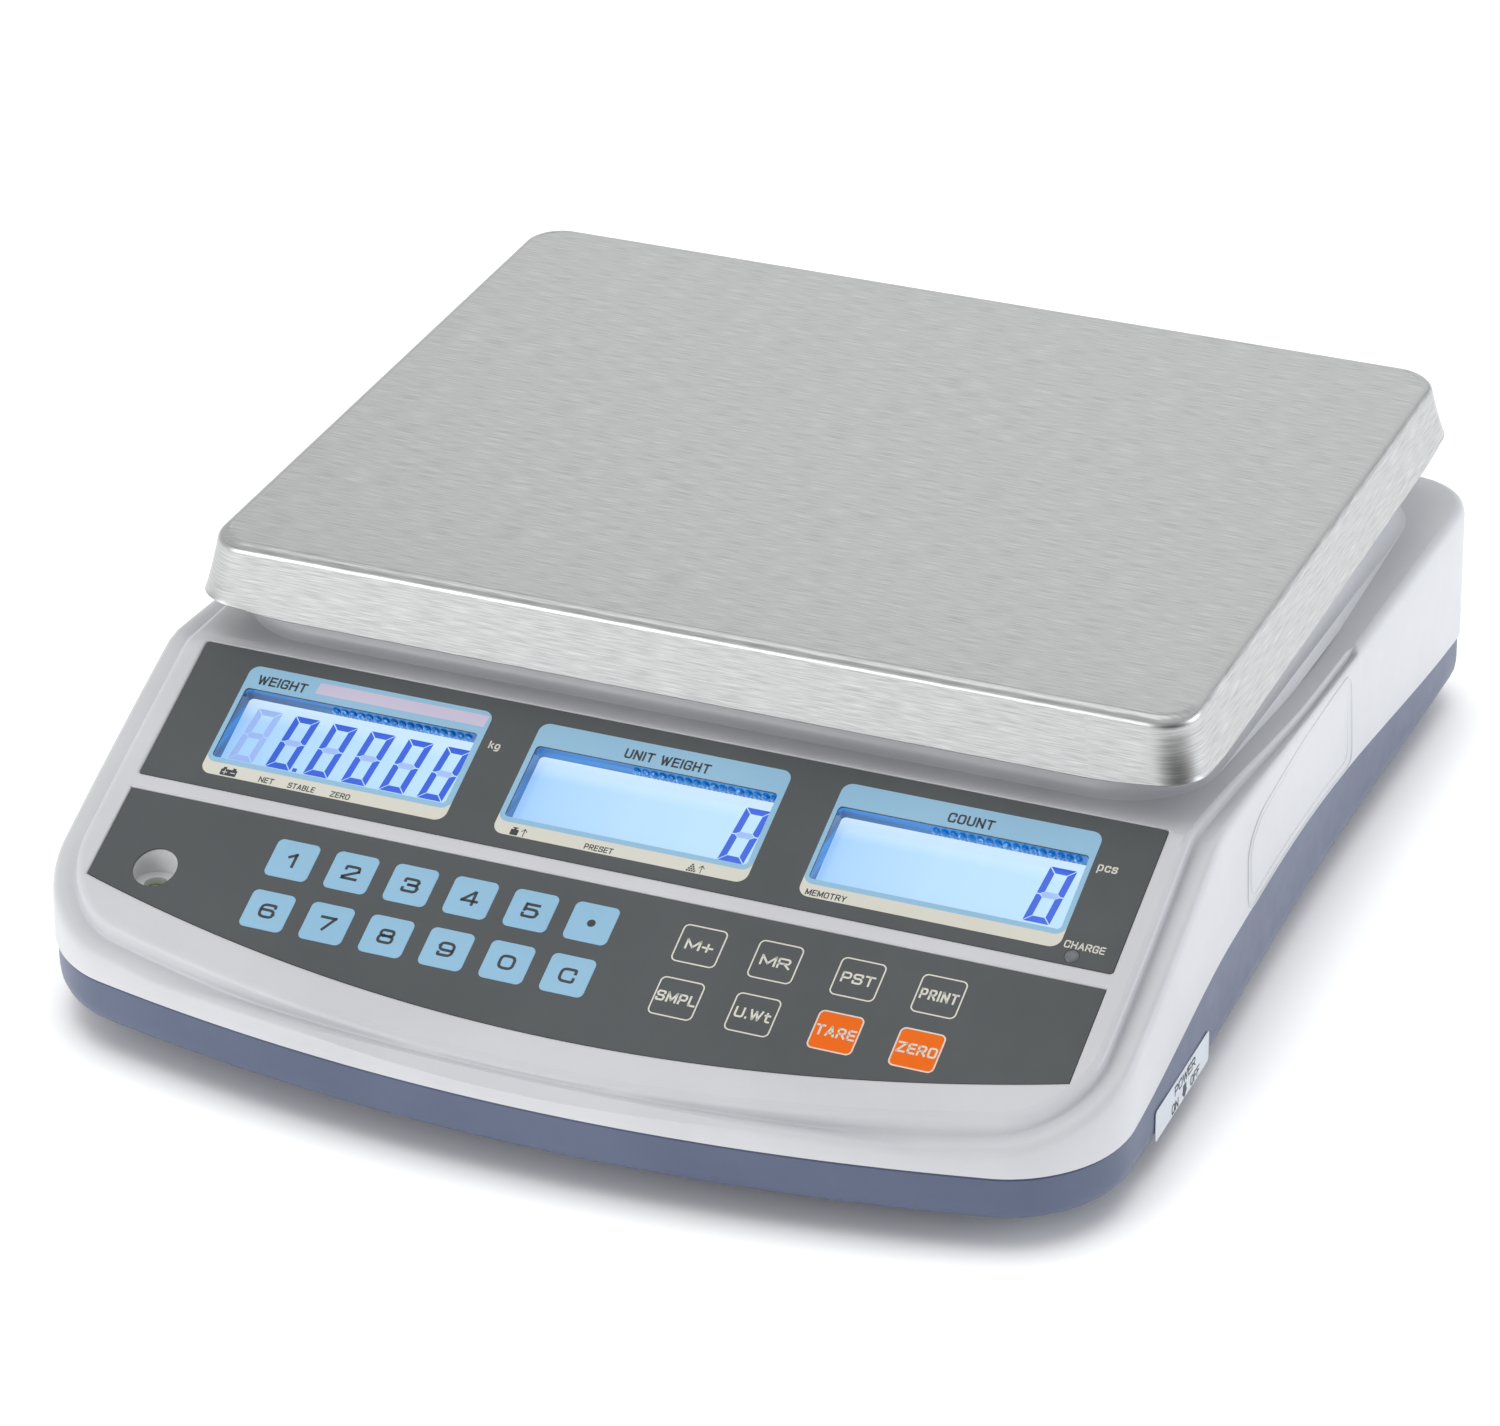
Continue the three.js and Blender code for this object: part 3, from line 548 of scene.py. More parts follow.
def plateau_shape(inset, bottom, fillet):
    """The raised middle of the deck, with a hollow rounding where it meets the deck."""
    rings = []
    if fillet:
        for grow, rise in plateau_foot:
            flat = plateau_ring(grow)
            rings.append(np.column_stack([flat, deck_at(flat[:, 1]) + rise]))
    else:
        rings.append(lifted(plateau_ring(-inset), bottom))
    for shrink, drop in plateau_brow:
        rings.append(lifted(plateau_ring(-shrink - inset), plateau_z - drop - inset))
    return loft(rings)


cover = raw_object("top_cover_shell", *cover_shape)
carve(cover, under_roof(0.0, roof_ys), "INTERSECT")
carve(cover, plateau_shape(0, 0, True), "UNION")
print("cover has", len(cover.data.polygons), "faces before it is hollowed")

# %% Hollow the cover
inner_rings = [ring_at(wall, -60.0), ring_at(wall + 0.3, lambda y: ledge_at(y) - 4.6),
               ring_at(7 + wall, lambda y: ledge_at(y) - 3.6), ring_at(7 + wall + 0.9, 120.0)]
cavity = raw_object("cavity", *loft(inner_rings))
carve(cavity, under_roof(3.2, roof_ys), "INTERSECT")
carve(cavity, plateau_shape(wall + 2, 40.0, False), "UNION")
cavity_points = [tuple(c / MM for c in v.co) for v in cavity.data.vertices]
cavity_faces = [tuple(p.vertices) for p in cavity.data.polygons]
bpy.data.objects.remove(cavity)
carve(cover, (cavity_points, cavity_faces))
print("cover hollowed to a wall of", wall, "mm")

# %% [markdown]
# ## Pockets and openings of the cover
# The overlays lie in shallow pockets with a bright rounded rim. Each pocket's cutter widens towards its top,
# so that the rim's rounding comes out of the same cut. Windows, key holes, the lamp hole and the level's well
# go right through.

# %% Pocket outlines on the slope
overlay_half = 144.0
display_depth = 47.8
rib_width = 5.2
keys_front_v = -103.1
keys_bow = 9.58e-4
sheet = 0.5


def display_outline(grow):
    """Outline of the display overlay."""
    return rounded_ring(2 * (overlay_half + grow), display_depth + 2 * grow, 0.8 + grow,
                        0, -display_depth / 2, 4)


def keypad_outline(grow):
    """Outline of the key overlay: straight above, bowed below."""
    half = overlay_half + grow
    top = -display_depth - rib_width + grow
    us = np.linspace(-half, half, 61)
    bowed = np.column_stack([us, keys_front_v + keys_bow * us ** 2 - grow])
    return np.vstack([bowed, [(half, top), (-half, top)]])


def slope_cutter(outline, floor, steps):
    """A cutter on the slope: rings of the outline at each (grow, height)."""
    return loft([on_slope(lifted(outline(grow), w)) for grow, w in [(steps[0][0], floor), *steps]])


rim_steps = [(0.15, -0.35), (0.2, -0.05), (0.35, 0.22), (0.62, 0.42), (1.05, 0.53), (1.6, 0.6), (1.7, 4.0)]
for outline in (display_outline, keypad_outline):
    carve(cover, slope_cutter(outline, -sheet - 0.3, rim_steps))
print("pockets cut")

# %% Where the windows, keys, lamp and level are
display_centres = [-90.0, 0.0, 90.0]
window_width, window_height, window_v = 72.0, 24.7, -25.1
key_width, key_height = 13.0, 12.5
key_rows = [-65.5, -82.95]
number_columns = [-88.5, -70.5, -52.5, -34.5, -16.5, 1.4]
function_columns = [33.1, 55.1, 78.7, 101.7]
level_u, level_v, level_radius = -125.9, -76.8, 6.4
level_y = slope_y + level_v * math.cos(slope_tilt)
lamp_u, lamp_v, lamp_radius = 131.7, -44.8, 2.0
number_legends = ["1", "2", "3", "4", "5", "point", "6", "7", "8", "9", "0", "clear"]
function_legends = ["memory_add", "memory_recall", "preset", "print", "sample", "unit_weight", "tare", "zero"]
key_at = {}
for count, word in enumerate(number_legends):
    key_at["key_" + word] = (number_columns[count % 6], key_rows[count // 6])
for count, word in enumerate(function_legends):
    key_at["key_" + word] = (function_columns[count % 4], key_rows[count // 4])
print(len(key_at), "keys placed")


# %% Cut the through openings
def slope_prism(ring, low, high):
    """A straight prism on the slope."""
    return loft([on_slope(lifted(ring, w)) for w in (low, high)])


openings = [slope_prism(rounded_ring(window_width + 1, window_height + 1, 1.8, u, window_v), -9, 2)
            for u in display_centres]
openings += [slope_prism(rounded_ring(key_width + 0.6, key_height + 0.6, 1.9, u, v), -9, 2)
             for u, v in key_at.values()]
openings.append(slope_prism(round_ring(lamp_radius + 0.3, lamp_u, lamp_v), -9, 2))
openings.append(loft([lifted(round_ring(level_radius + 0.1, level_u, level_y), z) for z in (20, 70)]))
carve(cover, gathered(openings))
print("cover's openings cut:", len(openings))


# %% Recess in the rear wall
def box_shape(low, high):
    """A plain block between two corners."""
    (x0, y0, z0), (x1, y1, z1) = low, high
    flat = [(x0, y0), (x1, y0), (x1, y1), (x0, y1)]
    return loft([[(x, y, z) for x, y in flat] for z in (z0, z1)])


jack_low, jack_high = span_mm("charging_jack")
port_low, port_high = span_mm("serial_port")
bay_x, bay_z, bay_width, bay_height, bay_depth = 69.0, 44.0, 84.0, 22.0, 9.0
bay_floor_y = rear_y - bay_depth


def bay_ring(grow, y):
    """Round-cornered ring of the recess, facing the rear."""
    flat = rounded_ring(bay_width + 2 * grow, bay_height + 2 * grow, 2.5 + grow, bay_x, bay_z)
    return np.column_stack([flat[::-1, 0], np.full(len(flat), y), flat[::-1, 1]])


carve(cover, loft([bay_ring(wall, bay_floor_y - wall), bay_ring(wall, rear_y - 1.2)]), "UNION")
carve(cover, loft([bay_ring(0, bay_floor_y), bay_ring(0, rear_y - 0.8), bay_ring(0.5, rear_y - 0.2),
                   bay_ring(1.3, rear_y + 0.3), bay_ring(1.4, rear_y + 4)]))
jack_x = float(jack_low[0] + jack_high[0]) / 2
jack_z = float(jack_low[2] + jack_high[2]) / 2
port_x = float(port_low[0] + port_high[0]) / 2
port_z = float(port_low[2] + port_high[2]) / 2
jack_hole = round_ring(6.0, jack_x, jack_z)
port_hole = rounded_ring(19.4, 9.2, 1.5, port_x, port_z)
carve(cover, gathered([
    loft([np.column_stack([hole[::-1, 0], np.full(len(hole), y), hole[::-1, 1]])
          for y in (bay_floor_y - 8, bay_floor_y + 3)]) for hole in (jack_hole, port_hole)]))
arms_ring = rounded_ring(56, 44, 4, 43, pan_y)
carve(cover, loft([lifted(arms_ring, 80), lifted(arms_ring, 100)]))
dressed(cover, white_plastic, "housing", 32, ["top_cover"])
print("cover finished with", len(cover.data.polygons), "faces")

# %% [markdown]
# ## The base tray
# The tray is a darker blue-grey moulding that tucks 0.7 mm inside the cover. It is a loft as well, with its
# rounded bottom edge, then the door's recess, the vents, the switch hole and the screw wells are sunk in it.

# %% Loft and cut the base tray
tray_inset = 0.7
tray = raw_object("base_tray_shell", *loft([
    ring_at(8.0, base_z), ring_at(5.4, base_z + 0.15), ring_at(3.7, base_z + 0.65),
    ring_at(2.5, base_z + 1.5), ring_at(1.6, base_z + 2.7), ring_at(1.0, base_z + 4.2),
    ring_at(tray_inset + 0.05, base_z + 6.0), ring_at(tray_inset, base_z + 8.0),
    ring_at(tray_inset, lambda y: seam_at(y) - 0.5), ring_at(tray_inset + 0.4, lambda y: seam_at(y) - 0.05),
    ring_at(tray_inset + wall, lambda y: seam_at(y)),
    ring_at(tray_inset + wall + 0.3, base_z + 6.0), ring_at(tray_inset + wall + 2.5, base_z + wall)]))
door_low, door_high = span_mm("battery_door")
foot_at = {}
for number in (1, 2, 3, 4):
    low, high = span_mm("foot_pad_%d" % number)
    foot_at[number] = (float(low[0] + high[0]) / 2, float(low[1] + high[1]) / 2)
switch_low, switch_high = span_mm("power_switch")
screw_at = [(x * 0.965, y) for x, y in
            ((-148, -40), (148, -40), (-147, 120), (147, 120), (-60, -152), (60, -152))]
posts = [loft([lifted(round_ring(9, x, y), z) for z in (base_z + 1, base_z + 13)])
         for x, y in foot_at.values()]
posts += [loft([lifted(round_ring(4.4, x, y), z) for z in (base_z + 1, float(seam_at(np.float64(y))) + 3)])
          for x, y in screw_at]
cell_low, cell_high = span_mm("cell_mount")
posts.append(box_shape((cell_low[0] + 1, cell_low[1] - 1, base_z + 1),
                       (cell_high[0] + 1, cell_high[1] + 1, cell_low[2] - 0.3)))
carve(tray, gathered(posts), "UNION")
door_x = float(door_low[0] + door_high[0]) / 2
vents = [box_shape((62 + 9 * i - 1.5, 83 + 40 * j, base_z - 5), (62 + 9 * i + 1.5, 109 + 40 * j, base_z + 15))
         for i in (-1, 0, 1) for j in (0, 1)]
wells = [loft([lifted(round_ring(4.4, x, y), z) for z in (base_z - 10, base_z + 30)])
         for x, y in foot_at.values()]
wells += [loft([lifted(round_ring(2.9, x, y), z) for z in (base_z - 1, base_z + 5)]) for x, y in screw_at]
switch_hole = box_shape((switch_low[0] + 0.8, switch_low[1] + 0.8, base_z - 5),
                        (switch_high[0] - 0.8, switch_high[1] - 0.8, base_z + 15))
carve(tray, gathered([*vents, *wells, switch_hole]))
carve(tray, box_shape((door_low[0] - 0.4, door_low[1] - 0.5, base_z - 2),
                      (door_high[0] + 0.4, door_high[1] + 12.5, base_z + 1.9)))
carve(tray, box_shape((door_low[0] + 4, door_low[1] + 3, base_z - 2),
                      (door_high[0] - 4, door_high[1] - 3, base_z + 20)))
dressed(tray, blue_plastic, "housing", 32, ["base_tray"])
print("tray finished with", len(tray.data.polygons), "faces")

# %% [markdown]
# ## The weighing pan
# The pan is pressed from sheet: a flat top, a tight bend all round and a skirt that leans out a little. It is
# lofted from the inside of the sheet, round the lower edge and up over the bend, so that it is one closed
# sheet of true thickness. The top is brushed across its width and the skirt along its length, so a map is
# laid straight down on the top and wound round the skirt, and the finish follows it.

# %% Press the pan
pan_top = float(pan_high[2])
pan_corner, pan_edge, pan_skirt, pan_flare, pan_sheet = 10.5, 3.6, 20.0, 3.2, 1.2


def pan_ring(grow, drop, radius, lift=0.0):
    """Ring of the pan at a drop below its top; the edge rises by the lift towards each corner."""
    arcs = rounded_ring(pan_width + 2 * grow, pan_depth + 2 * grow, radius, 0, pan_y, 16).reshape(4, 17, 2)
    along = [3.0, 7.0, 12.0, 18.0]
    bend = np.abs(np.arange(17) / 16 - 0.5) * np.pi / 2 * pan_corner
    reach = bend[0] + along[-1]
    flat, rise = [], []
    for k in range(4):
        before = arcs[k - 1][-1] - arcs[k][0]
        after = arcs[(k + 1) % 4][0] - arcs[k][-1]
        flat += [arcs[k][0] + before / np.linalg.norm(before) * d for d in reversed(along)]
        flat += list(arcs[k])
        flat += [arcs[k][-1] + after / np.linalg.norm(after) * d for d in along]
        steps = [bend[0] + d for d in reversed(along)] + list(bend) + [bend[0] + d for d in along]
        rise += [lift * 0.5 * (1 + math.cos(math.pi * d / reach)) for d in steps]
    return np.column_stack([np.array(flat), np.array(rise) + pan_top - drop])


def flare_at(drop):
    """How far the skirt leans out at a drop."""
    return pan_flare * (drop - pan_edge) / (pan_skirt - pan_edge)


def corner_rise(drop):
    """The skirt is a little shallower at its corners, as drawn sheet is."""
    return 2.0 * max(0.0, (drop - 9.0) / (pan_skirt - 9.0)) ** 1.5


pan_rings = [pan_ring(-40, pan_sheet, pan_corner - 4), pan_ring(-pan_edge - 2, pan_sheet, pan_corner - 4),
             pan_ring(-pan_sheet - 1.6, pan_sheet + 0.4, pan_corner - 2.5),
             pan_ring(-pan_sheet - 0.4, pan_sheet + 1.6, pan_corner - pan_sheet),
             pan_ring(-pan_sheet, pan_edge + 0.8, pan_corner - pan_sheet)]
for drop in (8.0, 11.0, 14.0, 17.0, pan_skirt - 0.3):
    pan_rings.append(pan_ring(flare_at(drop) - pan_sheet, drop, pan_corner, corner_rise(drop)))
for inward, up in ((0.9, 0.0), (0.3, 0.0), (0.0, 0.35)):
    pan_rings.append(pan_ring(pan_flare - inward, pan_skirt - up, pan_corner + 1.2, corner_rise(pan_skirt)))
for drop in (18.5, 17.0, 15.5, 14.0, 12.0, 10.0, 8.0, 5.5):
    pan_rings.append(pan_ring(flare_at(drop), drop, pan_corner + 1.2, corner_rise(drop)))
for degrees in (0, 12, 24, 36, 48, 60, 72, 82, 90):
    a = math.radians(degrees)
    back = pan_edge * (1 - math.cos(a))
    pan_rings.append(pan_ring(-back, pan_edge * (1 - math.sin(a)), pan_corner + 1.2 - back * 0.6))
for inward, drop in ((0.3, 0.06), (0.7, 0.02), (1.3, 0.0)):
    pan_rings.append(pan_ring(-pan_edge - inward, drop, pan_corner - 2))
pan_rings.append(pan_ring(-60, 0.0, pan_corner - 4))
pan = raw_object("weighing_pan_sheet", *loft(pan_rings))
brushing = pan.data.uv_layers.new(name="brushing")
edge_loop = pan_ring(0, 0, pan_corner)[:, :2]
edge_steps = np.linalg.norm(np.roll(edge_loop, -1, 0) - edge_loop, axis=1)
edge_run = np.append(0, np.cumsum(edge_steps)) * MM
per_ring = len(edge_loop)
for face in pan.data.polygons:
    places = [v % per_ring for v in face.vertices]
    closing = 0 in places and per_ring - 1 in places
    for loop, vertex, spot in zip(face.loop_indices, face.vertices, places):
        x, y, z = pan.data.vertices[vertex].co
        if abs(face.normal.z) < 0.75:
            x = edge_run[per_ring if closing and spot == 0 else spot]
            y = 0.5 + z
        brushing.data[loop].uv = (x, y)
dressed(pan, brushed_steel, "weighing_pan", 40, ["weighing_pan"])
print("pan pressed:", len(pan.data.polygons), "faces")

# %% [markdown]
# ## Overlays
# Two graphite films are stuck in the pockets. They are flat sheets with openings for the windows, the keys,
# the lamp and the level, so each is a thin prism with holes punched through, as the die cuts the real film.

# %% Punch the two overlays
display_film = raw_object("display_film", *slope_prism(display_outline(0), -sheet, 0.0))
window_holes = [slope_prism(rounded_ring(window_width, window_height, 1.2, u, window_v), -3, 3)
                for u in display_centres]
lamp_hole = slope_prism(round_ring(lamp_radius + 0.1, lamp_u, lamp_v), -3, 3)
carve(display_film, gathered([*window_holes, lamp_hole]))
dressed(display_film, graphite_film, "housing", 30, ["display_overlay"])
keypad_film = raw_object("keypad_film", *slope_prism(keypad_outline(0), -sheet, 0.0))
key_holes = [slope_prism(rounded_ring(key_width + 0.12, key_height + 0.12, 1.86, u, v), -3, 3)
             for u, v in key_at.values()]
level_hole = slope_prism(round_ring(level_radius, level_u, level_v), -3, 3)
carve(keypad_film, gathered([*key_holes, level_hole]))
dressed(keypad_film, graphite_film, "housing", 30, ["keypad_overlay"])
print("overlays punched with", len(key_holes), "key holes")

# %% [markdown]
# ## Lettering
# The legends are wide, square-shouldered capitals. A font file can't be read here, and Blender's own letters
# are narrower, so each sign is drawn as pen strokes on a grid ten steps high. Square corners are rounded and
# a ribbon is laid along each stroke, which also lets one table serve every size and weight.

# %% Strokes of each sign
signs = {
    "0": (9, [[(0, 0), (9, 0), (9, 10), (0, 10), (0, 0)]]),
    "1": (4, [[(0.4, 7.4), (4, 10)], [(4, 10), (4, 0)]]),
    "2": (9, [[(0.2, 7.9), (0.2, 10), (9, 10), (9, 6.6)], [(9, 6.6), (0, 1.3)], [(0, 1.2), (0, 0)],
              [(0, 0), (9, 0)]]),
    "3": (9, [[(0, 8.1), (0, 10), (9, 10), (9, 5.3), (3, 5.3)],
              [(3, 5.3), (9.4, 5.3), (9.4, 0), (0, 0), (0, 2)]]),
    "4": (10, [[(7.4, 0), (7.4, 10)], [(6.6, 10), (0, 2.6)], [(0, 2.6), (10, 2.6)]]),
    "5": (9, [[(8.6, 10), (0.6, 10)], [(0.6, 10), (0.3, 5)], [(0.3, 6), (9, 6), (9, 0), (0, 0), (0, 1.9)]]),
    "6": (9, [[(8.8, 8.4), (8.8, 10), (0, 10), (0, 0), (9, 0), (9, 5.8), (0.4, 5.8)]]),
    "7": (9, [[(0, 10), (9, 10)], [(9, 10), (3.4, 0)]]),
    "8": (9.4, [[(4.7, 5.4), (0.4, 5.4), (0.4, 10), (9, 10), (9, 5.4), (4.7, 5.4)],
                [(4.7, 5.4), (0, 5.4), (0, 0), (9.4, 0), (9.4, 5.4), (4.7, 5.4)]]),
    "9": (9, [[(0.2, 1.6), (0.2, 0), (9, 0), (9, 10), (0, 10), (0, 4.2), (8.6, 4.2)]]),
    "A": (9.6, [[(0, 0), (4.8, 10)], [(4.8, 10), (9.6, 0)], [(1.8, 3), (7.8, 3)]]),
    "B": (9, [[(0, 0), (0, 10)], [(0, 10), (8.4, 10), (8.4, 5.3), (0, 5.3)],
              [(0, 5.3), (9, 5.3), (9, 0), (0, 0)]]),
    "C": (9, [[(9, 7.4), (9, 10), (0, 10), (0, 0), (9, 0), (9, 2.7)]]),
    "E": (8, [[(0, 0), (0, 10)], [(0, 10), (8, 10)], [(0, 5.2), (7.4, 5.2)], [(0, 0), (8, 0)]]),
    "F": (8, [[(0, 0), (0, 10)], [(0, 10), (8, 10)], [(0, 5.2), (7.2, 5.2)]]),
    "G": (9, [[(9, 7.4), (9, 10), (0, 10), (0, 0), (9, 0), (9, 4.6), (5.4, 4.6)]]),
    "H": (9, [[(0, 0), (0, 10)], [(9, 0), (9, 10)], [(0, 5.2), (9, 5.2)]]),
    "I": (0, [[(0, 0), (0, 10)]]),
    "L": (7.4, [[(0, 10), (0, 0)], [(0, 0), (7.4, 0)]]),
    "M": (11, [[(0, 0), (0, 10)], [(0, 10), (5.5, 1.6)], [(5.5, 1.6), (11, 10)], [(11, 10), (11, 0)]]),
    "N": (9, [[(0, 0), (0, 10)], [(0, 10), (9, 0)], [(9, 0), (9, 10)]]),
    "O": (9, [[(0, 0), (9, 0), (9, 10), (0, 10), (0, 0)]]),
    "P": (8.6, [[(0, 0), (0, 10)], [(0, 10), (8.6, 10), (8.6, 4.2), (0, 4.2)]]),
    "R": (9, [[(0, 0), (0, 10)], [(0, 10), (8.8, 10), (8.8, 4.6), (0, 4.6)], [(4.6, 4.6), (9.2, 0)]]),
    "S": (9, [[(8.8, 8), (8.8, 10), (0, 10), (0, 5.3), (9, 5.3), (9, 0), (0, 0), (0, 2)]]),
    "T": (9, [[(0, 10), (9, 10)], [(4.5, 10), (4.5, 0)]]),
    "U": (9, [[(0, 10), (0, 0), (9, 0), (9, 10)]]),
    "W": (13, [[(0, 10), (3.4, 0)], [(3.4, 0), (6.5, 9)], [(6.5, 9), (9.6, 0)], [(9.6, 0), (13, 10)]]),
    "Y": (9.4, [[(0, 10), (4.7, 4.6)], [(9.4, 10), (4.7, 4.6)], [(4.7, 4.6), (4.7, 0)]]),
    "Z": (9, [[(0, 10), (9, 10)], [(9, 9.8), (0, 0.2)], [(0, 0), (9, 0)]]),
    "c": (7, [[(7, 5.2), (7, 7), (0, 7), (0, 0), (7, 0), (7, 1.8)]]),
    "g": (7, [[(7, 0.2), (0, 0.2), (0, 7), (7, 7), (7, -3), (0.6, -3)]]),
    "k": (6.6, [[(0, 0), (0, 10)], [(6, 7), (0.4, 3.2)], [(2.6, 4.4), (6.6, 0)]]),
    "p": (7, [[(0, -3), (0, 7)], [(0, 7), (7, 7), (7, 0), (0, 0)]]),
    "s": (6.8, [[(6.6, 5.8), (6.6, 7), (0, 7), (0, 3.7), (6.8, 3.7), (6.8, 0), (0, 0), (0, 1.2)]]),
    "t": (5.6, [[(1.8, 9.4), (1.8, 0), (5.6, 0)], [(0, 7), (5.2, 7)]]),
    "+": (8, [[(0, 4.2), (8, 4.2)], [(4, 0.2), (4, 8.2)]]),
    ".": (0, [[(0, 0), (0, 0.3)]]),
    " ": (3, []),
}
print(len(signs), "signs drawn")


# %% Rounded strokes and ribbons
def rounded_stroke(points, reach=2.6, steps=5):
    """A stroke whose square corners are rounded; slanted joints stay sharp."""
    closed = points[0] == points[-1]
    corners = [np.array(p, float) for p in (points[:-1] if closed else points)]
    out = []
    for i, here in enumerate(corners):
        if not closed and i in (0, len(corners) - 1):
            out.append(here)
            continue
        before = corners[i - 1] - here
        after = corners[(i + 1) % len(corners)] - here
        la, lb = np.linalg.norm(before), np.linalg.norm(after)
        r = min(reach, la / 2, lb / 2)
        start, end = here + before / la * r, here + after / lb * r
        for t in np.linspace(0, 1, steps + 1):
            out.append((1 - t) ** 2 * start + 2 * t * (1 - t) * here + t * t * end)
    return np.array(out), closed


def ribbon(path, closed, half, low, high):
    """A flat band along a path, with thickness, square at its ends."""
    path = np.array(path, float)
    if not closed:
        first, last = path[0] - path[1], path[-1] - path[-2]
        path[0] = path[0] + first / np.linalg.norm(first) * half
        path[-1] = path[-1] + last / np.linalg.norm(last) * half
    n = len(path)
    edge_a, edge_b = [], []
    for i in range(n):
        back = path[i] - path[i - 1] if (closed or i > 0) else path[1] - path[0]
        ahead = path[(i + 1) % n] - path[i] if (closed or i < n - 1) else back
        back, ahead = (d / max(np.linalg.norm(d), 1e-9) for d in (back, ahead))
        way = back + ahead
        way = way / max(np.linalg.norm(way), 1e-9)
        side = np.array([-way[1], way[0]])
        stretch = min(1.6, 1 / max(0.3, abs(float(np.dot(side, [-ahead[1], ahead[0]])))))
        edge_a.append(path[i] + side * half * stretch)
        edge_b.append(path[i] - side * half * stretch)
    flat = edge_a + edge_b
    points = [(*p, low) for p in flat] + [(*p, high) for p in flat]
    faces = []
    for i in range(n if closed else n - 1):
        j = (i + 1) % n
        a, b, c, d = i, j, n + j, n + i
        faces += [(a, b, c, d), (2 * n + d, 2 * n + c, 2 * n + b, 2 * n + a)]
        faces += [(a, 2 * n + a, 2 * n + b, b), (c, 2 * n + c, 2 * n + d, d)]
    if not closed:
        faces += [(0, n, 3 * n, 2 * n), (2 * n - 1, n - 1, 3 * n - 1, 4 * n - 1)]
    return points, faces


def lettering(text, left, right, base, height, weight, w=0.0, thick=0.03, reach=2.8):
    """A line of signs that fills left to right exactly, on its base line."""
    gap = weight + 0.13 * height
    grid_width = sum(signs[s][0] for s in text)
    step_x = (right - left - weight - gap * (len(text) - 1)) / max(grid_width, 1e-6)
    step_y = (height - weight) / 10
    cursor, parts = left + weight / 2, []
    for sign in text:
        width, strokes = signs[sign]
        for stroke in strokes:
            path, closed = rounded_stroke(stroke, reach)
            path = np.column_stack([cursor + path[:, 0] * step_x, base + weight / 2 + path[:, 1] * step_y])
            parts.append(ribbon(path, closed, weight / 2, w, w + thick))
        cursor += width * step_x + gap
    return gathered(parts)


def printed(name, parts, finish, body="housing"):
    """Ink on the slope, from shapes given in the slope's own distances."""
    points, faces = gathered(parts)
    obj = raw_object(name, on_slope(points), faces)
    return dressed(obj, finish, body, 30)


def patch(ring, w, thick=0.03):
    """A thin inked area in the slope's own distances."""
    return loft([lifted(ring, w), lifted(ring, w + thick)])


print("the word ZERO takes", len(lettering("ZERO", 0, 11, 0, 3.4, 0.5)[1]), "faces")

# %% [markdown]
# ## Printing on the display overlay
# The display overlay carries a blue frame round each window, with a cream strip under it for the status
# words. Inks are laid as thin sheets one above the other, as screen printing lays them, so they also hold up
# in close views.

# %% Frames round the windows
frame_boxes = {"weight": (-127.4, -52.1), "unit_weight": (-37.6, 37.7), "count": (52.7, 127.5)}
frame_top, frame_split, frame_bottom = -4.9, -39.1, -43.3


def with_hole(outer, hole, low, high):
    """A thin sheet with a window in it, both rings having the same number of points."""
    n = len(outer)
    rings = [lifted(outer, low), lifted(outer, high), lifted(hole, high), lifted(hole, low)]
    points = [tuple(p) for ring in rings for p in ring]
    faces = []
    for r in range(4):
        for i in range(n):
            j = (i + 1) % n
            faces.append((r * n + i, r * n + j, ((r + 1) % 4) * n + j, ((r + 1) % 4) * n + i))
    return points, faces


for number, (word, (left, right)) in enumerate(frame_boxes.items()):
    middle = (left + right) / 2
    window = rounded_ring(window_width + 0.05, window_height + 0.05, 1.25, display_centres[number], window_v)
    cream = rounded_ring(right - left, frame_top - frame_bottom, 3.2, middle, (frame_top + frame_bottom) / 2)
    blue = rounded_ring(right - left, frame_top - frame_split, 3.0, middle, (frame_top + frame_split) / 2)
    printed("print_strip_" + word, [with_hole(cream, window, 0.004, 0.03)], cream_ink)
    printed("print_frame_" + word, [with_hole(blue, window, 0.03, 0.06)], sky_ink)
blank_bar = np.array([(-105.6, -10.3), (-53.4, -10.3), (-53.0, -6.4), (-105.2, -6.4)])
printed("print_blank_weight", [patch(blank_bar, 0.06)], lilac_ink)
print("frames printed")


# %% Words and signs on the display overlay
def sign_arrow(u, base, height):
    """An arrow that points up."""
    return gathered([ribbon([(u, base), (u, base + height)], False, 0.11, 0.03, 0.06),
                     ribbon([(u - 0.75, base + height - 0.85), (u, base + height)], False, 0.11, 0.03, 0.06),
                     ribbon([(u + 0.75, base + height - 0.85), (u, base + height)], False, 0.11, 0.03, 0.06)])


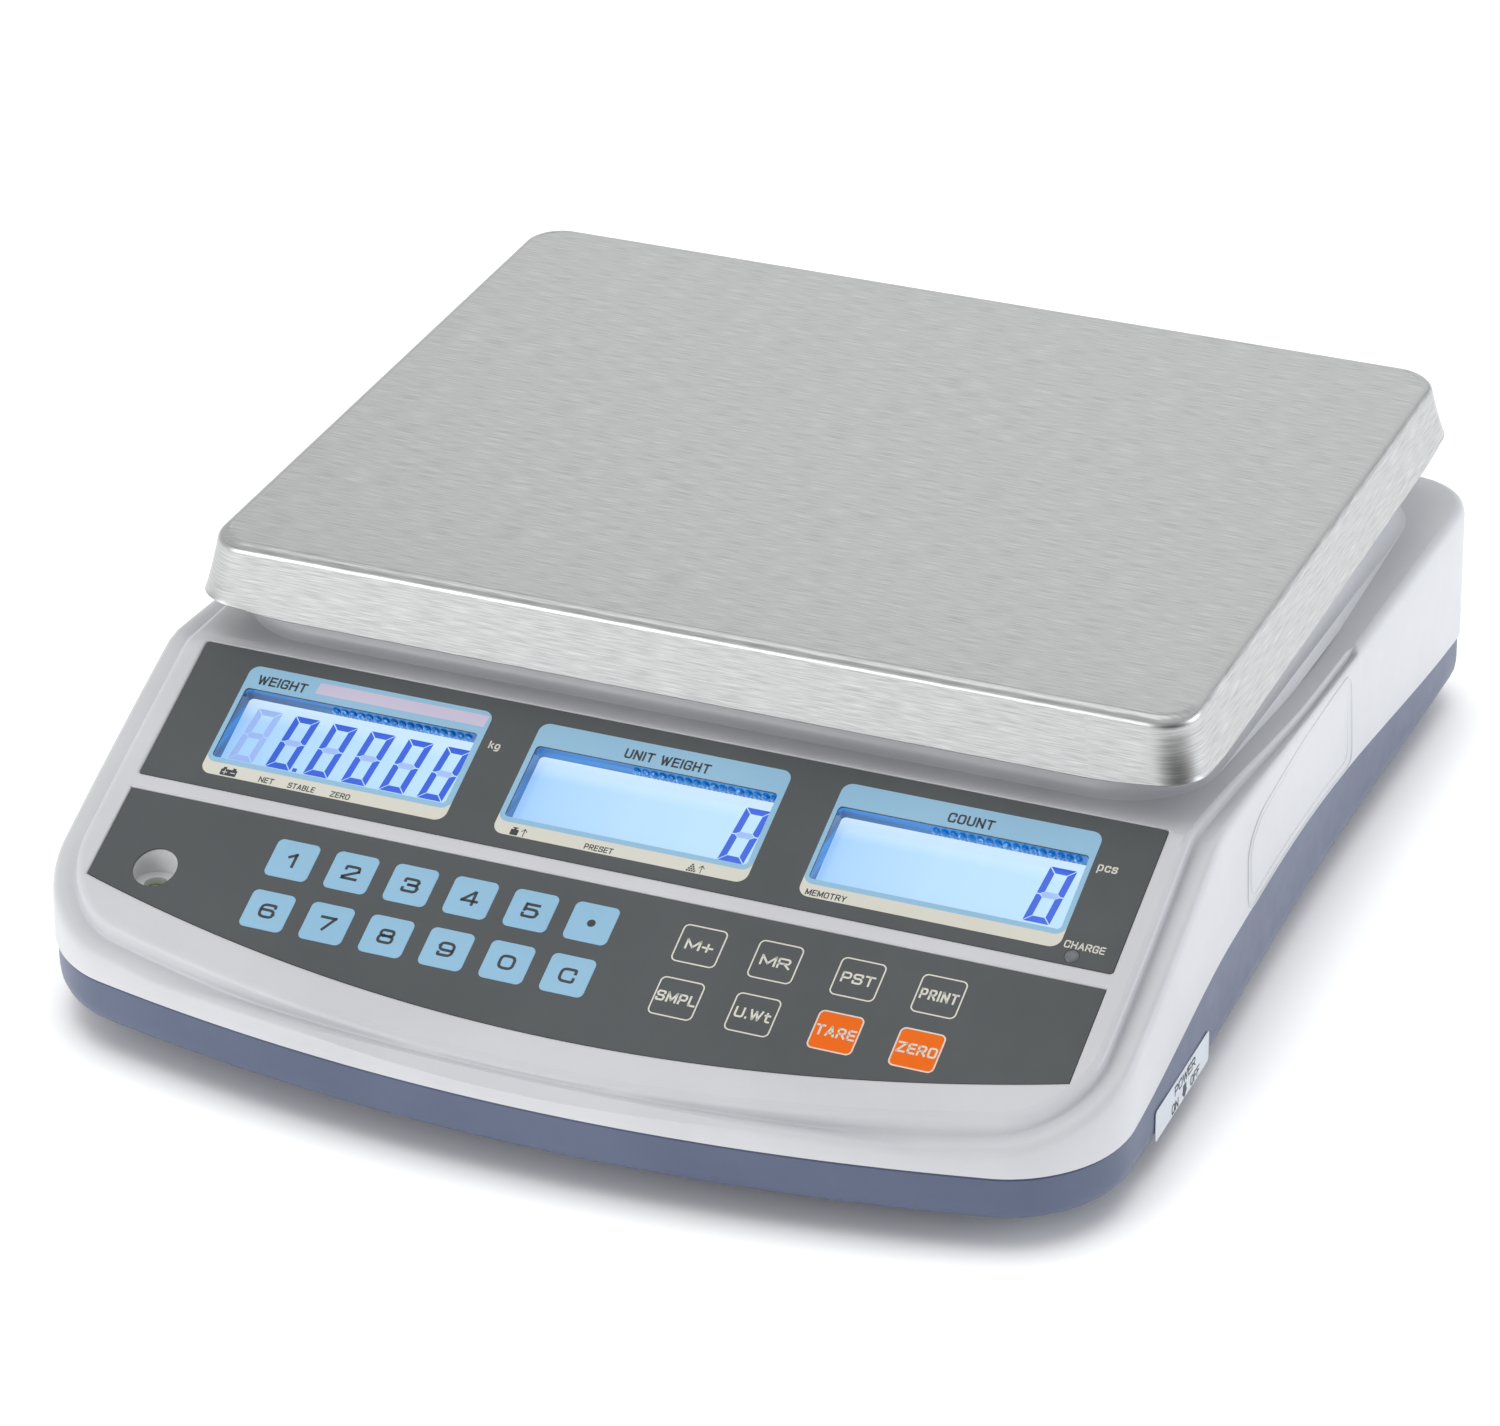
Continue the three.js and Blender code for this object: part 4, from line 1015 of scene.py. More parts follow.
dark_words = [
    lettering("WEIGHT", -123.7, -108.5, -10.95, 3.2, 0.56, 0.06),
    lettering("UNIT WEIGHT", -10.7, 14.7, -11.1, 3.2, 0.56, 0.06),
    lettering("COUNT", 84.4, 97.6, -11.0, 3.2, 0.56, 0.06),
    lettering("NET", -109.2, -104.7, -42.75, 1.85, 0.29, 0.03),
    lettering("STABLE", -100.2, -92.0, -42.75, 1.85, 0.29, 0.03),
    lettering("ZERO", -87.1, -81.2, -42.75, 1.85, 0.29, 0.03),
    lettering("PRESET", -10.1, -1.7, -42.75, 1.85, 0.29, 0.03),
    lettering("MEMOTRY", 54.9, 66.6, -42.75, 1.95, 0.31, 0.03),
    sign_arrow(-28.3, -42.9, 2.4), sign_arrow(24.4, -42.9, 2.4),
    patch(rounded_ring(2.3, 1.9, 0.25, -31.1, -42.05, 3), 0.03),
    patch(rounded_ring(0.7, 0.8, 0.1, -31.1, -40.9, 3), 0.03),
    patch(rounded_ring(1.6, 0.3, 0.1, -31.1, -40.55, 3), 0.03)]
for row, many in enumerate((4, 3, 2, 1)):
    for place in range(many):
        dot_u = 21.6 + 0.72 * (place - (many - 1) / 2)
        dark_words.append(patch(round_ring(0.3, dot_u, -42.7 + 0.68 * row, 10), 0.03))
battery_sign = [patch(rounded_ring(4.9, 2.1, 0.3, -118.8, -41.85, 3), 0.03)]
battery_sign += [patch(rounded_ring(1.0, 0.7, 0.1, -118.8 + side * 1.45, -40.5, 3), 0.03) for side in (-1, 1)]
printed("print_dark_words", [*dark_words, *battery_sign], dark_ink)
battery_marks = [ribbon([(-120.6, -41.8), (-119.3, -41.8)], False, 0.12, 0.06, 0.08),
                 ribbon([(-119.95, -42.45), (-119.95, -41.15)], False, 0.12, 0.06, 0.08),
                 ribbon([(-118.1, -41.8), (-116.9, -41.8)], False, 0.12, 0.06, 0.08)]
pale_words = [
    lettering("kg", -49.5, -46.1, -16.75, 2.5, 0.4, 0.004),
    lettering("pcs", 129.2, 134.8, -16.9, 2.9, 0.42, 0.004),
    lettering("CHARGE", 128.5, 139.9, -42.55, 2.35, 0.37, 0.004)]
printed("print_pale_words", [*pale_words, *battery_marks], cream_ink)
print("display overlay lettered")

# %% [markdown]
# ## Keys
# Each key is a flat printed cap that moves a little with its own body. The number keys are sky blue with
# graphite figures; the function keys are graphite, or orange, inside a fine cream outline.

# %% Shape of a key
key_words = {
    "key_1": "1", "key_2": "2", "key_3": "3", "key_4": "4", "key_5": "5", "key_6": "6", "key_7": "7",
    "key_8": "8", "key_9": "9", "key_0": "0", "key_clear": "C", "key_memory_add": "M+",
    "key_memory_recall": "MR", "key_preset": "PST", "key_print": "PRINT", "key_sample": "SMPL",
    "key_unit_weight": "U.Wt", "key_tare": "TARE", "key_zero": "ZERO"}
word_spans = {"1": 2.9, "4": 5.2, "M+": 8.0, "MR": 8.6, "PST": 9.4, "PRINT": 10.7, "SMPL": 11.5,
              "U.Wt": 10.3, "TARE": 11.3, "ZERO": 11.2}
number_height, number_weight, word_height, word_weight = 4.8, 0.86, 3.35, 0.58


def key_cap(u, v):
    """A cap whose top edge is just broken."""
    rings = [(0.0, -2.3), (0.0, -0.02), (-0.06, 0.02), (-0.14, 0.035)]
    return loft([on_slope(lifted(rounded_ring(key_width + 2 * g, key_height + 2 * g, 1.8 + g, u, v), w))
                 for g, w in rings])


def key_outline(u, v):
    """The fine printed line round a function key."""
    outer = rounded_ring(key_width - 0.1, key_height - 0.1, 1.75, u, v)
    inner = rounded_ring(key_width - 0.95, key_height - 0.95, 1.35, u, v)
    return with_hole(outer, inner, 0.03, 0.05)


print("key words:", len(key_words))

# %% Make every key
for name, (u, v) in key_at.items():
    column_is_number = u < 20
    is_orange = name in ("key_tare", "key_zero")
    cap_finish = sky_ink if column_is_number else orange_ink if is_orange else graphite_film
    cap = raw_object(name + "_cap", *key_cap(u, v))
    dressed(cap, cap_finish, name, 35, [name])
    word = key_words.get(name)
    if column_is_number:
        if word:
            span = word_spans.get(word, 4.9)
            centre = u - 0.35 if word == "1" else u
            legend = [lettering(word, centre - span / 2, centre + span / 2, v - number_height / 2 - 0.1,
                                number_height, number_weight, 0.03, reach=3.6)]
        else:
            legend = [patch(round_ring(1.2, u, v, 28), 0.03)]
        printed(name + "_legend", legend, dark_ink, name)
    else:
        span = word_spans[word]
        legend = [lettering(word, u - span / 2, u + span / 2, v - word_height / 2,
                            word_height, word_weight, 0.03), key_outline(u, v)]
        printed(name + "_legend", legend, cream_ink, name)
print("keys made:", len(key_at))

# %% [markdown]
# ## Displays
# Each display is a backlit liquid crystal set back behind its window. Three things make it read as real: the
# pale blue light that is a little stronger at the top and right, the clear light guide round the recess with
# its row of lens beads, and the slanted figures, with the unlit ones just showing.

# %% Light and glass of the displays
field_w = -4.9


def lit(name, stops, base, strength, glow=0.0):
    """A backlit surface whose colour drifts from left to right; glow lightens its upper part."""
    finish = new_finish(name, base, 0.25)
    shader = shader_of(finish)
    place = finish.node_tree.nodes.new("ShaderNodeTexCoord")
    split = finish.node_tree.nodes.new("ShaderNodeSeparateXYZ")
    wire(finish, place.outputs["Generated"], split.inputs["Vector"])
    ramp = finish.node_tree.nodes.new("ShaderNodeValToRGB")
    while len(ramp.color_ramp.elements) < len(stops):
        ramp.color_ramp.elements.new(0.5)
    for element, (position, colour) in zip(ramp.color_ramp.elements, stops):
        element.position = position
        element.color = linear(colour)
    wire(finish, split.outputs["X"], ramp.inputs["Fac"])
    brighter = finish.node_tree.nodes.new("ShaderNodeMix")
    brighter.data_type = "RGBA"
    brighter.inputs["B"].default_value = linear((226, 245, 255))
    rise = node(finish, "ShaderNodeMapRange")
    rise.inputs["From Min"].default_value = 0.7
    rise.inputs["From Max"].default_value = 1.02
    rise.inputs["To Max"].default_value = glow
    wire(finish, split.outputs["Y"], rise.inputs["Value"])
    wire(finish, rise.outputs["Result"], brighter.inputs["Factor"])
    wire(finish, ramp.outputs["Color"], brighter.inputs["A"])
    drift = finish.node_tree.nodes.new("ShaderNodeMix")
    drift.data_type = "RGBA"
    drift.blend_type = "MULTIPLY"
    drift.inputs["B"].default_value = linear((246, 250, 254))
    wire(finish, noise(finish, 1.0, 2.0, (120, 12, 12)), drift.inputs["Factor"])
    wire(finish, brighter.outputs["Result"], drift.inputs["A"])
    wire(finish, drift.outputs["Result"], shader.inputs["Emission Color"])
    shader.inputs["Emission Strength"].default_value = strength
    return finish


field_light = lit("backlit field", [(0.0, (164, 207, 250)), (0.45, (184, 221, 252)), (1.0, (192, 228, 253))],
                  (70, 92, 120), 0.88, 1.0)
segment_blue = lit("lit figure", [(0.0, (28, 94, 222)), (0.5, (44, 98, 232)), (1.0, (20, 92, 226))],
                   (6, 18, 50), 0.85)
segment_ghost = lit("unlit figure", [(0.0, (160, 186, 244)), (0.5, (166, 192, 246)), (1.0, (168, 196, 247))],
                    (66, 84, 116), 0.8)
guide_blue = new_finish("blue-lit light guide", (4, 92, 160), 0.12)
guide_ramp = clouded(guide_blue, (0, 58, 108), (12, 112, 184), 1.0, (14, 30, 400), 0.36, 0.66)
wire(guide_blue, guide_ramp.outputs["Color"], shader_of(guide_blue).inputs["Emission Color"])
shader_of(guide_blue).inputs["Emission Strength"].default_value = 0.55
shader_of(guide_blue).inputs["Coat Weight"].default_value = 0.8
bead_blue = new_finish("blue lens bead", (10, 112, 186), 0.08)
bead_ramp = clouded(bead_blue, (4, 96, 168), (150, 214, 250), 900, (1, 1, 1), 0.52, 0.8)
wire(bead_blue, bead_ramp.outputs["Color"], shader_of(bead_blue).inputs["Emission Color"])
shader_of(bead_blue).inputs["Emission Strength"].default_value = 0.5
shader_of(bead_blue).inputs["Coat Weight"].default_value = 1.0
print("display light ready")


# %% Figures made of seven segments
digit_wide, digit_high, digit_slant = 7.6, 18.4, 1.85
bar, split = 1.95, 0.2
mid = digit_high / 2
far = digit_wide - bar - split
upper_left = [(0, digit_high - split), (0, mid + split), (bar * 0.5, mid + split), (bar, mid + bar * 0.5),
              (bar, digit_high - bar - split)]
segment_shapes = {
    "top": [(split, digit_high), (bar + split, digit_high - bar), (far, digit_high - bar),
            (digit_wide - split, digit_high)],
    "upper_left": upper_left,
    "upper_right": [(digit_wide - x, y) for x, y in reversed(upper_left)],
    "lower_left": [(x, digit_high - y) for x, y in reversed(upper_left)],
    "lower_right": [(digit_wide - x, digit_high - y) for x, y in upper_left],
    "bottom": [(split, 0), (digit_wide - split, 0), (far, bar), (bar + split, bar)],
    "middle": [(bar * 0.5 + split, mid), (bar + split, mid - bar / 2), (far, mid - bar / 2),
               (digit_wide - bar * 0.5 - split, mid), (far, mid + bar / 2), (bar + split, mid + bar / 2)]}
zero_bars = {"top", "upper_left", "upper_right", "lower_left", "lower_right", "bottom"}


def figure(left, base, bars):
    """The chosen segments of one slanted figure, as thin areas."""
    parts = []
    for bar_name in bars:
        ring = [(left + x + digit_slant * y / digit_high, base + y) for x, y in segment_shapes[bar_name]]
        parts.append(patch(np.array(ring), field_w + 0.01, 0.04))
    return parts


print("seven segments drawn")

# %% Build the three displays
display_nodes = ["weight", "unit_weight", "count"]
figure_pitch = 11.73
figure_last = {"weight": -65.2, "unit_weight": 25.2, "count": 113.2}
figure_base = {"weight": -34.1, "unit_weight": -34.3, "count": -33.7}
bead_pitch, bead_size = 2.55, 1.12
guide_section = [
    (78, 30.7, -8.4), (78, 30.7, -2.95), (72.9, 25.6, -2.95), (72.9, 25.6, -0.52),
    (72.02, 24.72, -0.52), (72.02, 24.72, field_w - 0.3), (71.0, 23.7, field_w - 0.3), (71.0, 23.7, -8.4)]


def hoop(rings):
    """A closed ring-shaped solid through rings that return to the first."""
    n = len(rings[0])
    points = [tuple(p) for ring in rings for p in ring]
    faces = []
    for r in range(len(rings)):
        s = (r + 1) % len(rings)
        for i in range(n):
            j = (i + 1) % n
            faces.append((r * n + i, r * n + j, s * n + j, s * n + i))
    return points, faces


def bead(u, v, w):
    """A small flattened lens."""
    rings = []
    for k in range(1, 8):
        a = math.pi * k / 8 - math.pi / 2
        r = bead_size * math.cos(a)
        rings.append([(u + r * math.cos(t), v + 0.5 * r * math.sin(t), w + 1.25 * bead_size * math.sin(a))
                      for t in np.linspace(0, 2 * np.pi, 14, endpoint=False)])
    return loft(rings)


for number, word in enumerate(display_nodes):
    u0 = display_centres[number]
    case_rings = [on_slope(lifted(rounded_ring(a, b, 1.5, u0, window_v), w)) for a, b, w in guide_section]
    case = raw_object("display_guide_" + word, *hoop(case_rings))
    dressed(case, guide_blue, "housing", 30, ["lcd_" + word])
    field = raw_object("display_field_" + word, *slope_prism(
        rounded_ring(71.9, 24.6, 1.2, u0, window_v), field_w - 0.25, field_w))
    dressed(field, field_light, "housing", 30)
    left, base = figure_last[word], figure_base[word]
    many = 5 if word == "weight" else 1
    lit_parts, dim_parts = [], []
    for place in range(many):
        spot = left - place * figure_pitch
        lit_parts += figure(spot, base, sorted(zero_bars))
        dim_parts += figure(spot, base, ["middle"])
    if word == "weight":
        dim_parts += figure(left - 5 * figure_pitch, base, sorted(segment_shapes))
        point_u = left - 4 * figure_pitch + digit_wide + 1.35
        lit_parts.append(patch(rounded_ring(1.3, 1.2, 0.1, point_u, base + 0.6, 3), field_w + 0.01, 0.04))
    printed("display_figures_" + word, lit_parts, segment_blue)
    printed("display_ghosts_" + word, dim_parts, segment_ghost)
    first = u0 - window_width / 2 + (27.5 if word != "unit_weight" else 29.5)
    spots = np.arange(first, u0 + window_width / 2 - 1.2, bead_pitch)
    beads = gathered([bead(float(u), window_v + window_height / 2 - 0.35, -3.0) for u in spots])
    bead_row = raw_object("display_beads_" + word, on_slope(beads[0]), beads[1])
    dressed(bead_row, bead_blue, "housing", 40)
print("displays built, with", len(spots), "beads in the last")

# %% [markdown]
# ## Level well and lamp
# At the left of the keys a round well lets the user look down on a small spirit level. Its wall is white,
# with a ledge near the bottom. The level lies under the ledge: a cup of pale green liquid, one bubble and
# the ring that the bubble has to sit in.

# %% Finishes for glass and liquid
clear_cup = new_finish("clear acrylic", (236, 240, 238), 0.06)
shader_of(clear_cup).inputs["Transmission Weight"].default_value = 0.85
shader_of(clear_cup).inputs["IOR"].default_value = 1.49
uneven_gloss(clear_cup, 0.03, 0.1, 500)
grained(clear_cup, 700, 0.004, 0.2)
level_liquid = new_finish("level liquid", (190, 214, 120), 0.08)
clouded(level_liquid, (182, 206, 108), (200, 222, 136), 300)
shader_of(level_liquid).inputs["Coat Weight"].default_value = 1.0
lamp_grey = moulded("smoked lamp", (96, 100, 103), (112, 115, 118), 0.3, 2000, 0.01)
well_white = moulded("well wall", (206, 207, 209), (212, 213, 215), 0.42)
print("clear finishes ready")


# %% Turned pieces
def turned(profile, x, y, sides=48):
    """A turned solid about an upright axis, from (radius, height) pairs, lowest first."""
    return loft([lifted(round_ring(max(r, 0.01), x, y, sides), z) for r, z in profile])


level_low, level_high = span_mm("spirit_level")
level_top = float(level_high[2])
level_floor = float(level_low[2])
well_outer, well_inner, ledge_inner = (round_ring(level_radius + grow, level_u, level_y)
                                       for grow in (1.3, -0.06, -3.0))
well_top_rings = [np.column_stack([flat, slope_at(flat[:, 1]) - 0.75]) for flat in (well_outer, well_inner)]
well = raw_object("level_well", *hoop([
    lifted(well_outer, level_floor - 0.6), *well_top_rings, lifted(well_inner, level_top + 2.5),
    lifted(ledge_inner, level_top + 2.4), lifted(ledge_inner, level_top + 0.3),
    lifted(well_inner, level_top + 0.3), lifted(well_inner, level_floor - 0.6)]))
dressed(well, well_white, "housing", 35)
cup = raw_object("level_cup", *turned([
    (4.9, level_floor), (5.9, level_floor), (5.9, level_top - 0.7), (5.5, level_top - 0.2),
    (4.8, level_top), (0.02, level_top)], level_u, level_y))
dressed(cup, level_liquid, "housing", 35, ["spirit_level"])
bubble = raw_object("level_bubble", *turned([
    (1.7, level_top + 0.02), (1.9, level_top + 0.1), (1.6, level_top + 0.2), (0.8, level_top + 0.27)],
    level_u + 0.4, level_y + 0.3, 32))
dressed(bubble, clear_cup, "housing", 35)
mark = [hoop([lifted(round_ring(r, level_u, level_y), z) for r, z in (
    (2.75, level_top + 0.02), (2.75, level_top + 0.05), (2.5, level_top + 0.05), (2.5, level_top + 0.02))])]
level_mark = raw_object("level_mark", *gathered(mark))
dressed(level_mark, dark_ink, "housing", 35)
print("level set at z", round(level_top, 1))

# %% The charge lamp
lamp_rings = [(lamp_radius, -4.4), (lamp_radius, -0.05), (1.85, 0.12), (1.4, 0.3), (0.8, 0.4), (0.2, 0.43)]
lamp = raw_object("charge_lamp", *loft([on_slope(lifted(round_ring(r, lamp_u, lamp_v, 36), w))
                                       for r, w in lamp_rings]))
dressed(lamp, lamp_grey, "housing", 40, ["charge_led"])
print("lamp", 2 * lamp_radius, "mm across")

# %% [markdown]
# ## Side walls: moulded outline and switch label
# Each side wall carries a faint moulded outline, a rounded panel with a second line inside it. It is a thin
# raised bead that follows the wall's wave. Under it on the right sits the label for the switch beneath.


# %% Beads that follow the wall
def wall_inset(y, z):
    """The side wall's draft: it leans in a little towards the ledge."""
    top = ledge_at(y) - 3.3
    low = seam_at(y) + 0.9
    return 0.25 * np.clip((z - low) / np.maximum(top - low, 1.0), 0, 1)


def soften(corners, reach):
    """A closed path with rounded corners and no step longer than about 4 mm."""
    out = rounded_stroke([*corners, corners[0]], reach, 7)[0]
    dense = []
    for i, here in enumerate(out):
        following = out[(i + 1) % len(out)]
        pieces = max(1, int(np.linalg.norm(following - here) / 4))
        dense += [here + (following - here) * k / pieces for k in range(pieces)]
    return np.array(dense)


def wall_bead(side, path, half, height):
    """A raised bead along a closed (y, z) path on a side wall."""
    n = len(path)
    rings = []
    for i in range(n):
        ahead = path[(i + 1) % n] - path[i - 1]
        ahead = ahead / np.linalg.norm(ahead)
        across = np.array([-ahead[1], ahead[0]])
        ring = []
        for s, lift in ((-1.0, -0.15), (-0.85, 0.3), (-0.35, 0.9), (0.35, 0.9), (0.85, 0.3), (1.0, -0.15)):
            y, z = path[i] + across * half * s
            x = side_x(y) - wall_inset(y, z) + height * lift
            ring.append((side * x, y, z))
        rings.append(np.array(ring))
    points, faces = hoop(rings)
    return points, [f if side > 0 else tuple(reversed(f)) for f in faces]


def seam_line(low_y, high_y, rise, count=9):
    """Points that run along the seam, a little above it."""
    return [(y, float(seam_at(np.float64(y))) + rise) for y in np.linspace(low_y, high_y, count)]


outer_top = [(56.5, 65.4), (8.0, 66.4), (-28.0, 65.2), (-38.0, 60.0)]
inner_top = [(53.4, 62.6), (8.0, 64.6), (-26.5, 63.4), (-35.4, 58.6)]
outer_path = soften([*seam_line(-36.5, 60.0, 1.3), *outer_top], 6.0)
inner_path = soften([*seam_line(-33.5, 55.8, 4.0), *inner_top], 6.0)
for side, word in ((1, "right"), (-1, "left")):
    beads = gathered([wall_bead(side, outer_path, 0.34, 0.34), wall_bead(side, inner_path, 0.24, 0.2)])
    outline_piece = raw_object("side_outline_" + word, *beads)
    dressed(outline_piece, white_plastic, "housing", 50)
print("side outlines of", len(outer_path), "points")

# %% Switch label
label_low, label_high = span_mm("side_label")
label_y = float(label_low[1] + label_high[1]) / 2
label_z = float(label_low[2] + label_high[2]) / 2
label_w = float(label_high[1] - label_low[1])
label_h = float(label_high[2] - label_low[2])
label_x = float(label_high[0]) - 0.05


def on_side_wall(points):
    """From (along, up, out) at the label to the frame; the label bends with the wall."""
    a, b, c = np.array(points, float).T
    bend = side_x(a) - side_x(np.full_like(a, label_y))
    return np.column_stack([label_x + bend + c, a, b])


label_ring = rounded_ring(label_w, label_h, 1.0, label_y, label_z)
sheet_points, sheet_faces = loft([lifted(label_ring, -0.2), lifted(label_ring, 0.0)])
label_piece = raw_object("switch_label", on_side_wall(sheet_points), sheet_faces)
dressed(label_piece, label_film, "housing", 30, ["side_label"])
label_words = gathered([
    lettering("POWER", -97.4, -80.6, 16.2, 3.0, 0.42), lettering("ON", -99.6, -94.4, 11.5, 3.0, 0.42),
    lettering("OFF", -84.2, -77.0, 11.5, 3.0, 0.42), patch(rounded_ring(2.6, 2.4, 0.1, -89.3, 14.3, 3), 0.0),
    patch(np.array([(-91.3, 13.2), (-89.3, 11.2), (-87.3, 13.2)]), 0.0)])
label_print = raw_object("switch_label_words", on_side_wall(label_words[0]), label_words[1])
dressed(label_print, dark_ink, "housing", 30)
print("label", round(label_w, 1), "by", round(label_h, 1), "mm")

# %% [markdown]
# ## Underneath
# Four rubber feet on threaded studs, a battery door with finger ribs, a rocker switch, six screws in their
# wells. The parts are small, but the object is judged from every side, so they get true sections too.

# %% Feet
foot_spans = {number: span_mm("foot_screw_%d" % number) for number in foot_at}
for number, (x, y) in foot_at.items():
    low, high = foot_spans[number]
    pad = raw_object("foot_sole_%d" % number, *turned([
        (9.0, 0.55), (9.4, 0.0), (11.2, 0.0), (12.0, 0.25), (12.75, 0.9), (13.0, 1.7), (13.0, 3.6),
        (12.8, 4.2), (12.3, 4.45), (11.2, 4.5)], x, y, 60))
    dressed(pad, black_rubber, "foot_pad_%d" % number, 40, ["foot_pad_%d" % number])
    stud_low, stud_top = float(low[2]), float(high[2])
    profile = [(10.2, stud_low), (10.9, stud_low + 0.4), (11.0, stud_low + 1.0), (11.0, stud_low + 2.8),
               (10.6, stud_low + 3.4), (9.8, stud_low + 3.6), (4.0, stud_low + 3.6)]
    z = stud_low + 4.1
    while z < stud_top - 1.4:
        profile += [(3.35, z), (3.98, z + 0.62)]
        z += 1.25
    profile += [(3.4, stud_top - 0.5), (3.1, stud_top)]
    stud = raw_object("foot_stud_%d" % number, *turned(profile, x, y, 48))
    dressed(stud, zinc, "foot_screw_%d" % number, 25, ["foot_screw_%d" % number])
print("feet made:", len(foot_at))


# %% Battery door and screws
def rounded_block(low, high, radius, edge):
    """A block with round corners and softened lower and upper edges."""
    (x0, y0, z0), (x1, y1, z1) = low, high
    rings = []
    for shrink, z in ((edge, z0), (edge * 0.3, z0 + edge * 0.3), (0, z0 + edge), (0, z1 - edge),
                      (edge * 0.3, z1 - edge * 0.3), (edge, z1)):
        rings.append(lifted(rounded_ring(x1 - x0 - 2 * shrink, y1 - y0 - 2 * shrink, radius - shrink,
                                         (x0 + x1) / 2, (y0 + y1) / 2), z))
    return loft(rings)


plate_low = float(door_high[2]) - 1.5
door_parts = [rounded_block((door_low[0], door_low[1], plate_low), door_high, 2.0, 0.35)]
for row in range(4):
    rib_y = (float(door_low[1]) + float(door_high[1])) / 2 - 30 + 4 * row
    door_parts.append(rounded_block((door_x - 15, rib_y - 0.7, float(door_low[2])),
                                    (door_x + 15, rib_y + 0.7, plate_low + 0.6), 0.65, 0.3))
door = raw_object("battery_door_plate", *door_parts[0])
carve(door, gathered(door_parts[1:]), "UNION")
dressed(door, blue_plastic, "battery_door", 32, ["battery_door"])
screw_parts = []
for x, y in screw_at:
    head = raw_object("head", *turned([(2.3, base_z + 0.9), (2.55, base_z + 1.2), (2.55, base_z + 2.6),
                                       (1.2, base_z + 2.9), (1.2, base_z + 8)], x, y, 28))
    for turn in ((1.5, 0.24), (0.24, 1.5)):
        carve(head, box_shape((x - turn[0], y - turn[1], base_z - 1),
                              (x + turn[0], y + turn[1], base_z + 1.9)))
    screw_parts.append(([tuple(c / MM for c in v.co) for v in head.data.vertices],
                        [tuple(p.vertices) for p in head.data.polygons]))
    bpy.data.objects.remove(head)
screws = raw_object("housing_screws", *gathered(screw_parts))
dressed(screws, zinc, "housing", 30)
print("door and", len(screw_parts), "screws made")

# %% [markdown]
# ## Sockets and the parts inside
# The solids that are already right keep their shape and get a true finish, and the load cell and its two
# blocks have their edges eased by a bevel. The serial socket gets its nine pins, the jack its centre pin.

# %% Circuit boards
board_green = new_finish("circuit board", (26, 96, 58), 0.35)
clouded(board_green, (18, 74, 44), (34, 112, 66), 1.0, (700, 90, 90), 0.46, 0.54)
grained(board_green, 500, 0.03, 0.4)
uneven_gloss(board_green, 0.28, 0.45, 300)
print("board finish ready")


# %% Finish the kept solids
def kept(name, finish, ease_mm=0.0):
    """Keeps a solid, gives it its finish and, if asked, eases its edges."""
    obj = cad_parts[name]
    obj.data.materials.clear()
    obj.data.materials.append(finish)
    obj.data.polygons.foreach_set("use_smooth", [True] * len(obj.data.polygons))
    obj.data.set_sharp_from_angle(angle=math.radians(30))
    if ease_mm:
        soft_edge = obj.modifiers.new("eased edges", "BEVEL")
        soft_edge.width = ease_mm * MM
        soft_edge.segments = 2
        soft_edge.limit_method = "ANGLE"
        soft_edge.angle_limit = math.radians(40)
    return obj


kept("load_cell", aluminium, 0.3)
kept("cell_mount", zinc, 0.3)
kept("cell_spacer", zinc, 0.3)
plain_solids = {
    "pan_support": aluminium, "overload_stop": zinc, "serial_port": zinc,
    "display_board": board_green, "keypad_board": board_green, "main_board": board_green,
    "battery": black_plastic, "power_switch": black_plastic, "power_rocker": black_plastic,
    "charging_jack": black_plastic, "pan_pad_1": black_rubber, "pan_pad_2": black_rubber,
    "pan_pad_3": black_rubber, "pan_pad_4": black_rubber}
for name, finish in plain_solids.items():
    kept(name, finish)
print("solids kept:", sum(1 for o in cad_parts.values() if not o.hide_render))


# %% Pins of the two sockets
def rear_pin(x, z, radius, near, far, sides=20):
    """A round pin along y, its free end rounded."""
    rings = []
    for r, y in ((radius, near), (radius, far - radius * 0.8), (radius * 0.7, far - radius * 0.25),
                 (radius * 0.2, far)):
        ring = round_ring(r, x, z, sides)[::-1]
        rings.append(np.column_stack([ring[:, 0], np.full(sides, y), ring[:, 1]]))
    return loft(rings)


pin_pitch, pin_row = 2.77, 1.42
pin_near, pin_far = bay_floor_y - 2.4, bay_floor_y + 4.6
pins = [rear_pin(port_x + (place - 2) * pin_pitch, port_z + pin_row, 0.5, pin_near, pin_far)
        for place in range(5)]
pins += [rear_pin(port_x + (place - 1.5) * pin_pitch, port_z - pin_row, 0.5, pin_near, pin_far)
         for place in range(4)]
pins.append(rear_pin(jack_x, jack_z, 0.95, bay_floor_y - 9.0, bay_floor_y - 0.4, 24))
socket_pins = raw_object("socket_pins", *gathered(pins))
dressed(socket_pins, zinc, "housing", 40)
print("pins:", len(pins))

# %% [markdown]
# ## Camera, floor and light
# The camera stands about 1.7 m away, to the right of the front and raised, with a long lens. Four large soft
# lights give the steel and the white edges their gentle gradients. A fifth, broad and overhead, reaches the
# floor alone, so the floor stays white and the scale keeps only a close, soft shadow. The sky is dimmer
# towards the front right, which lets the right wall and the skirt show their shape.

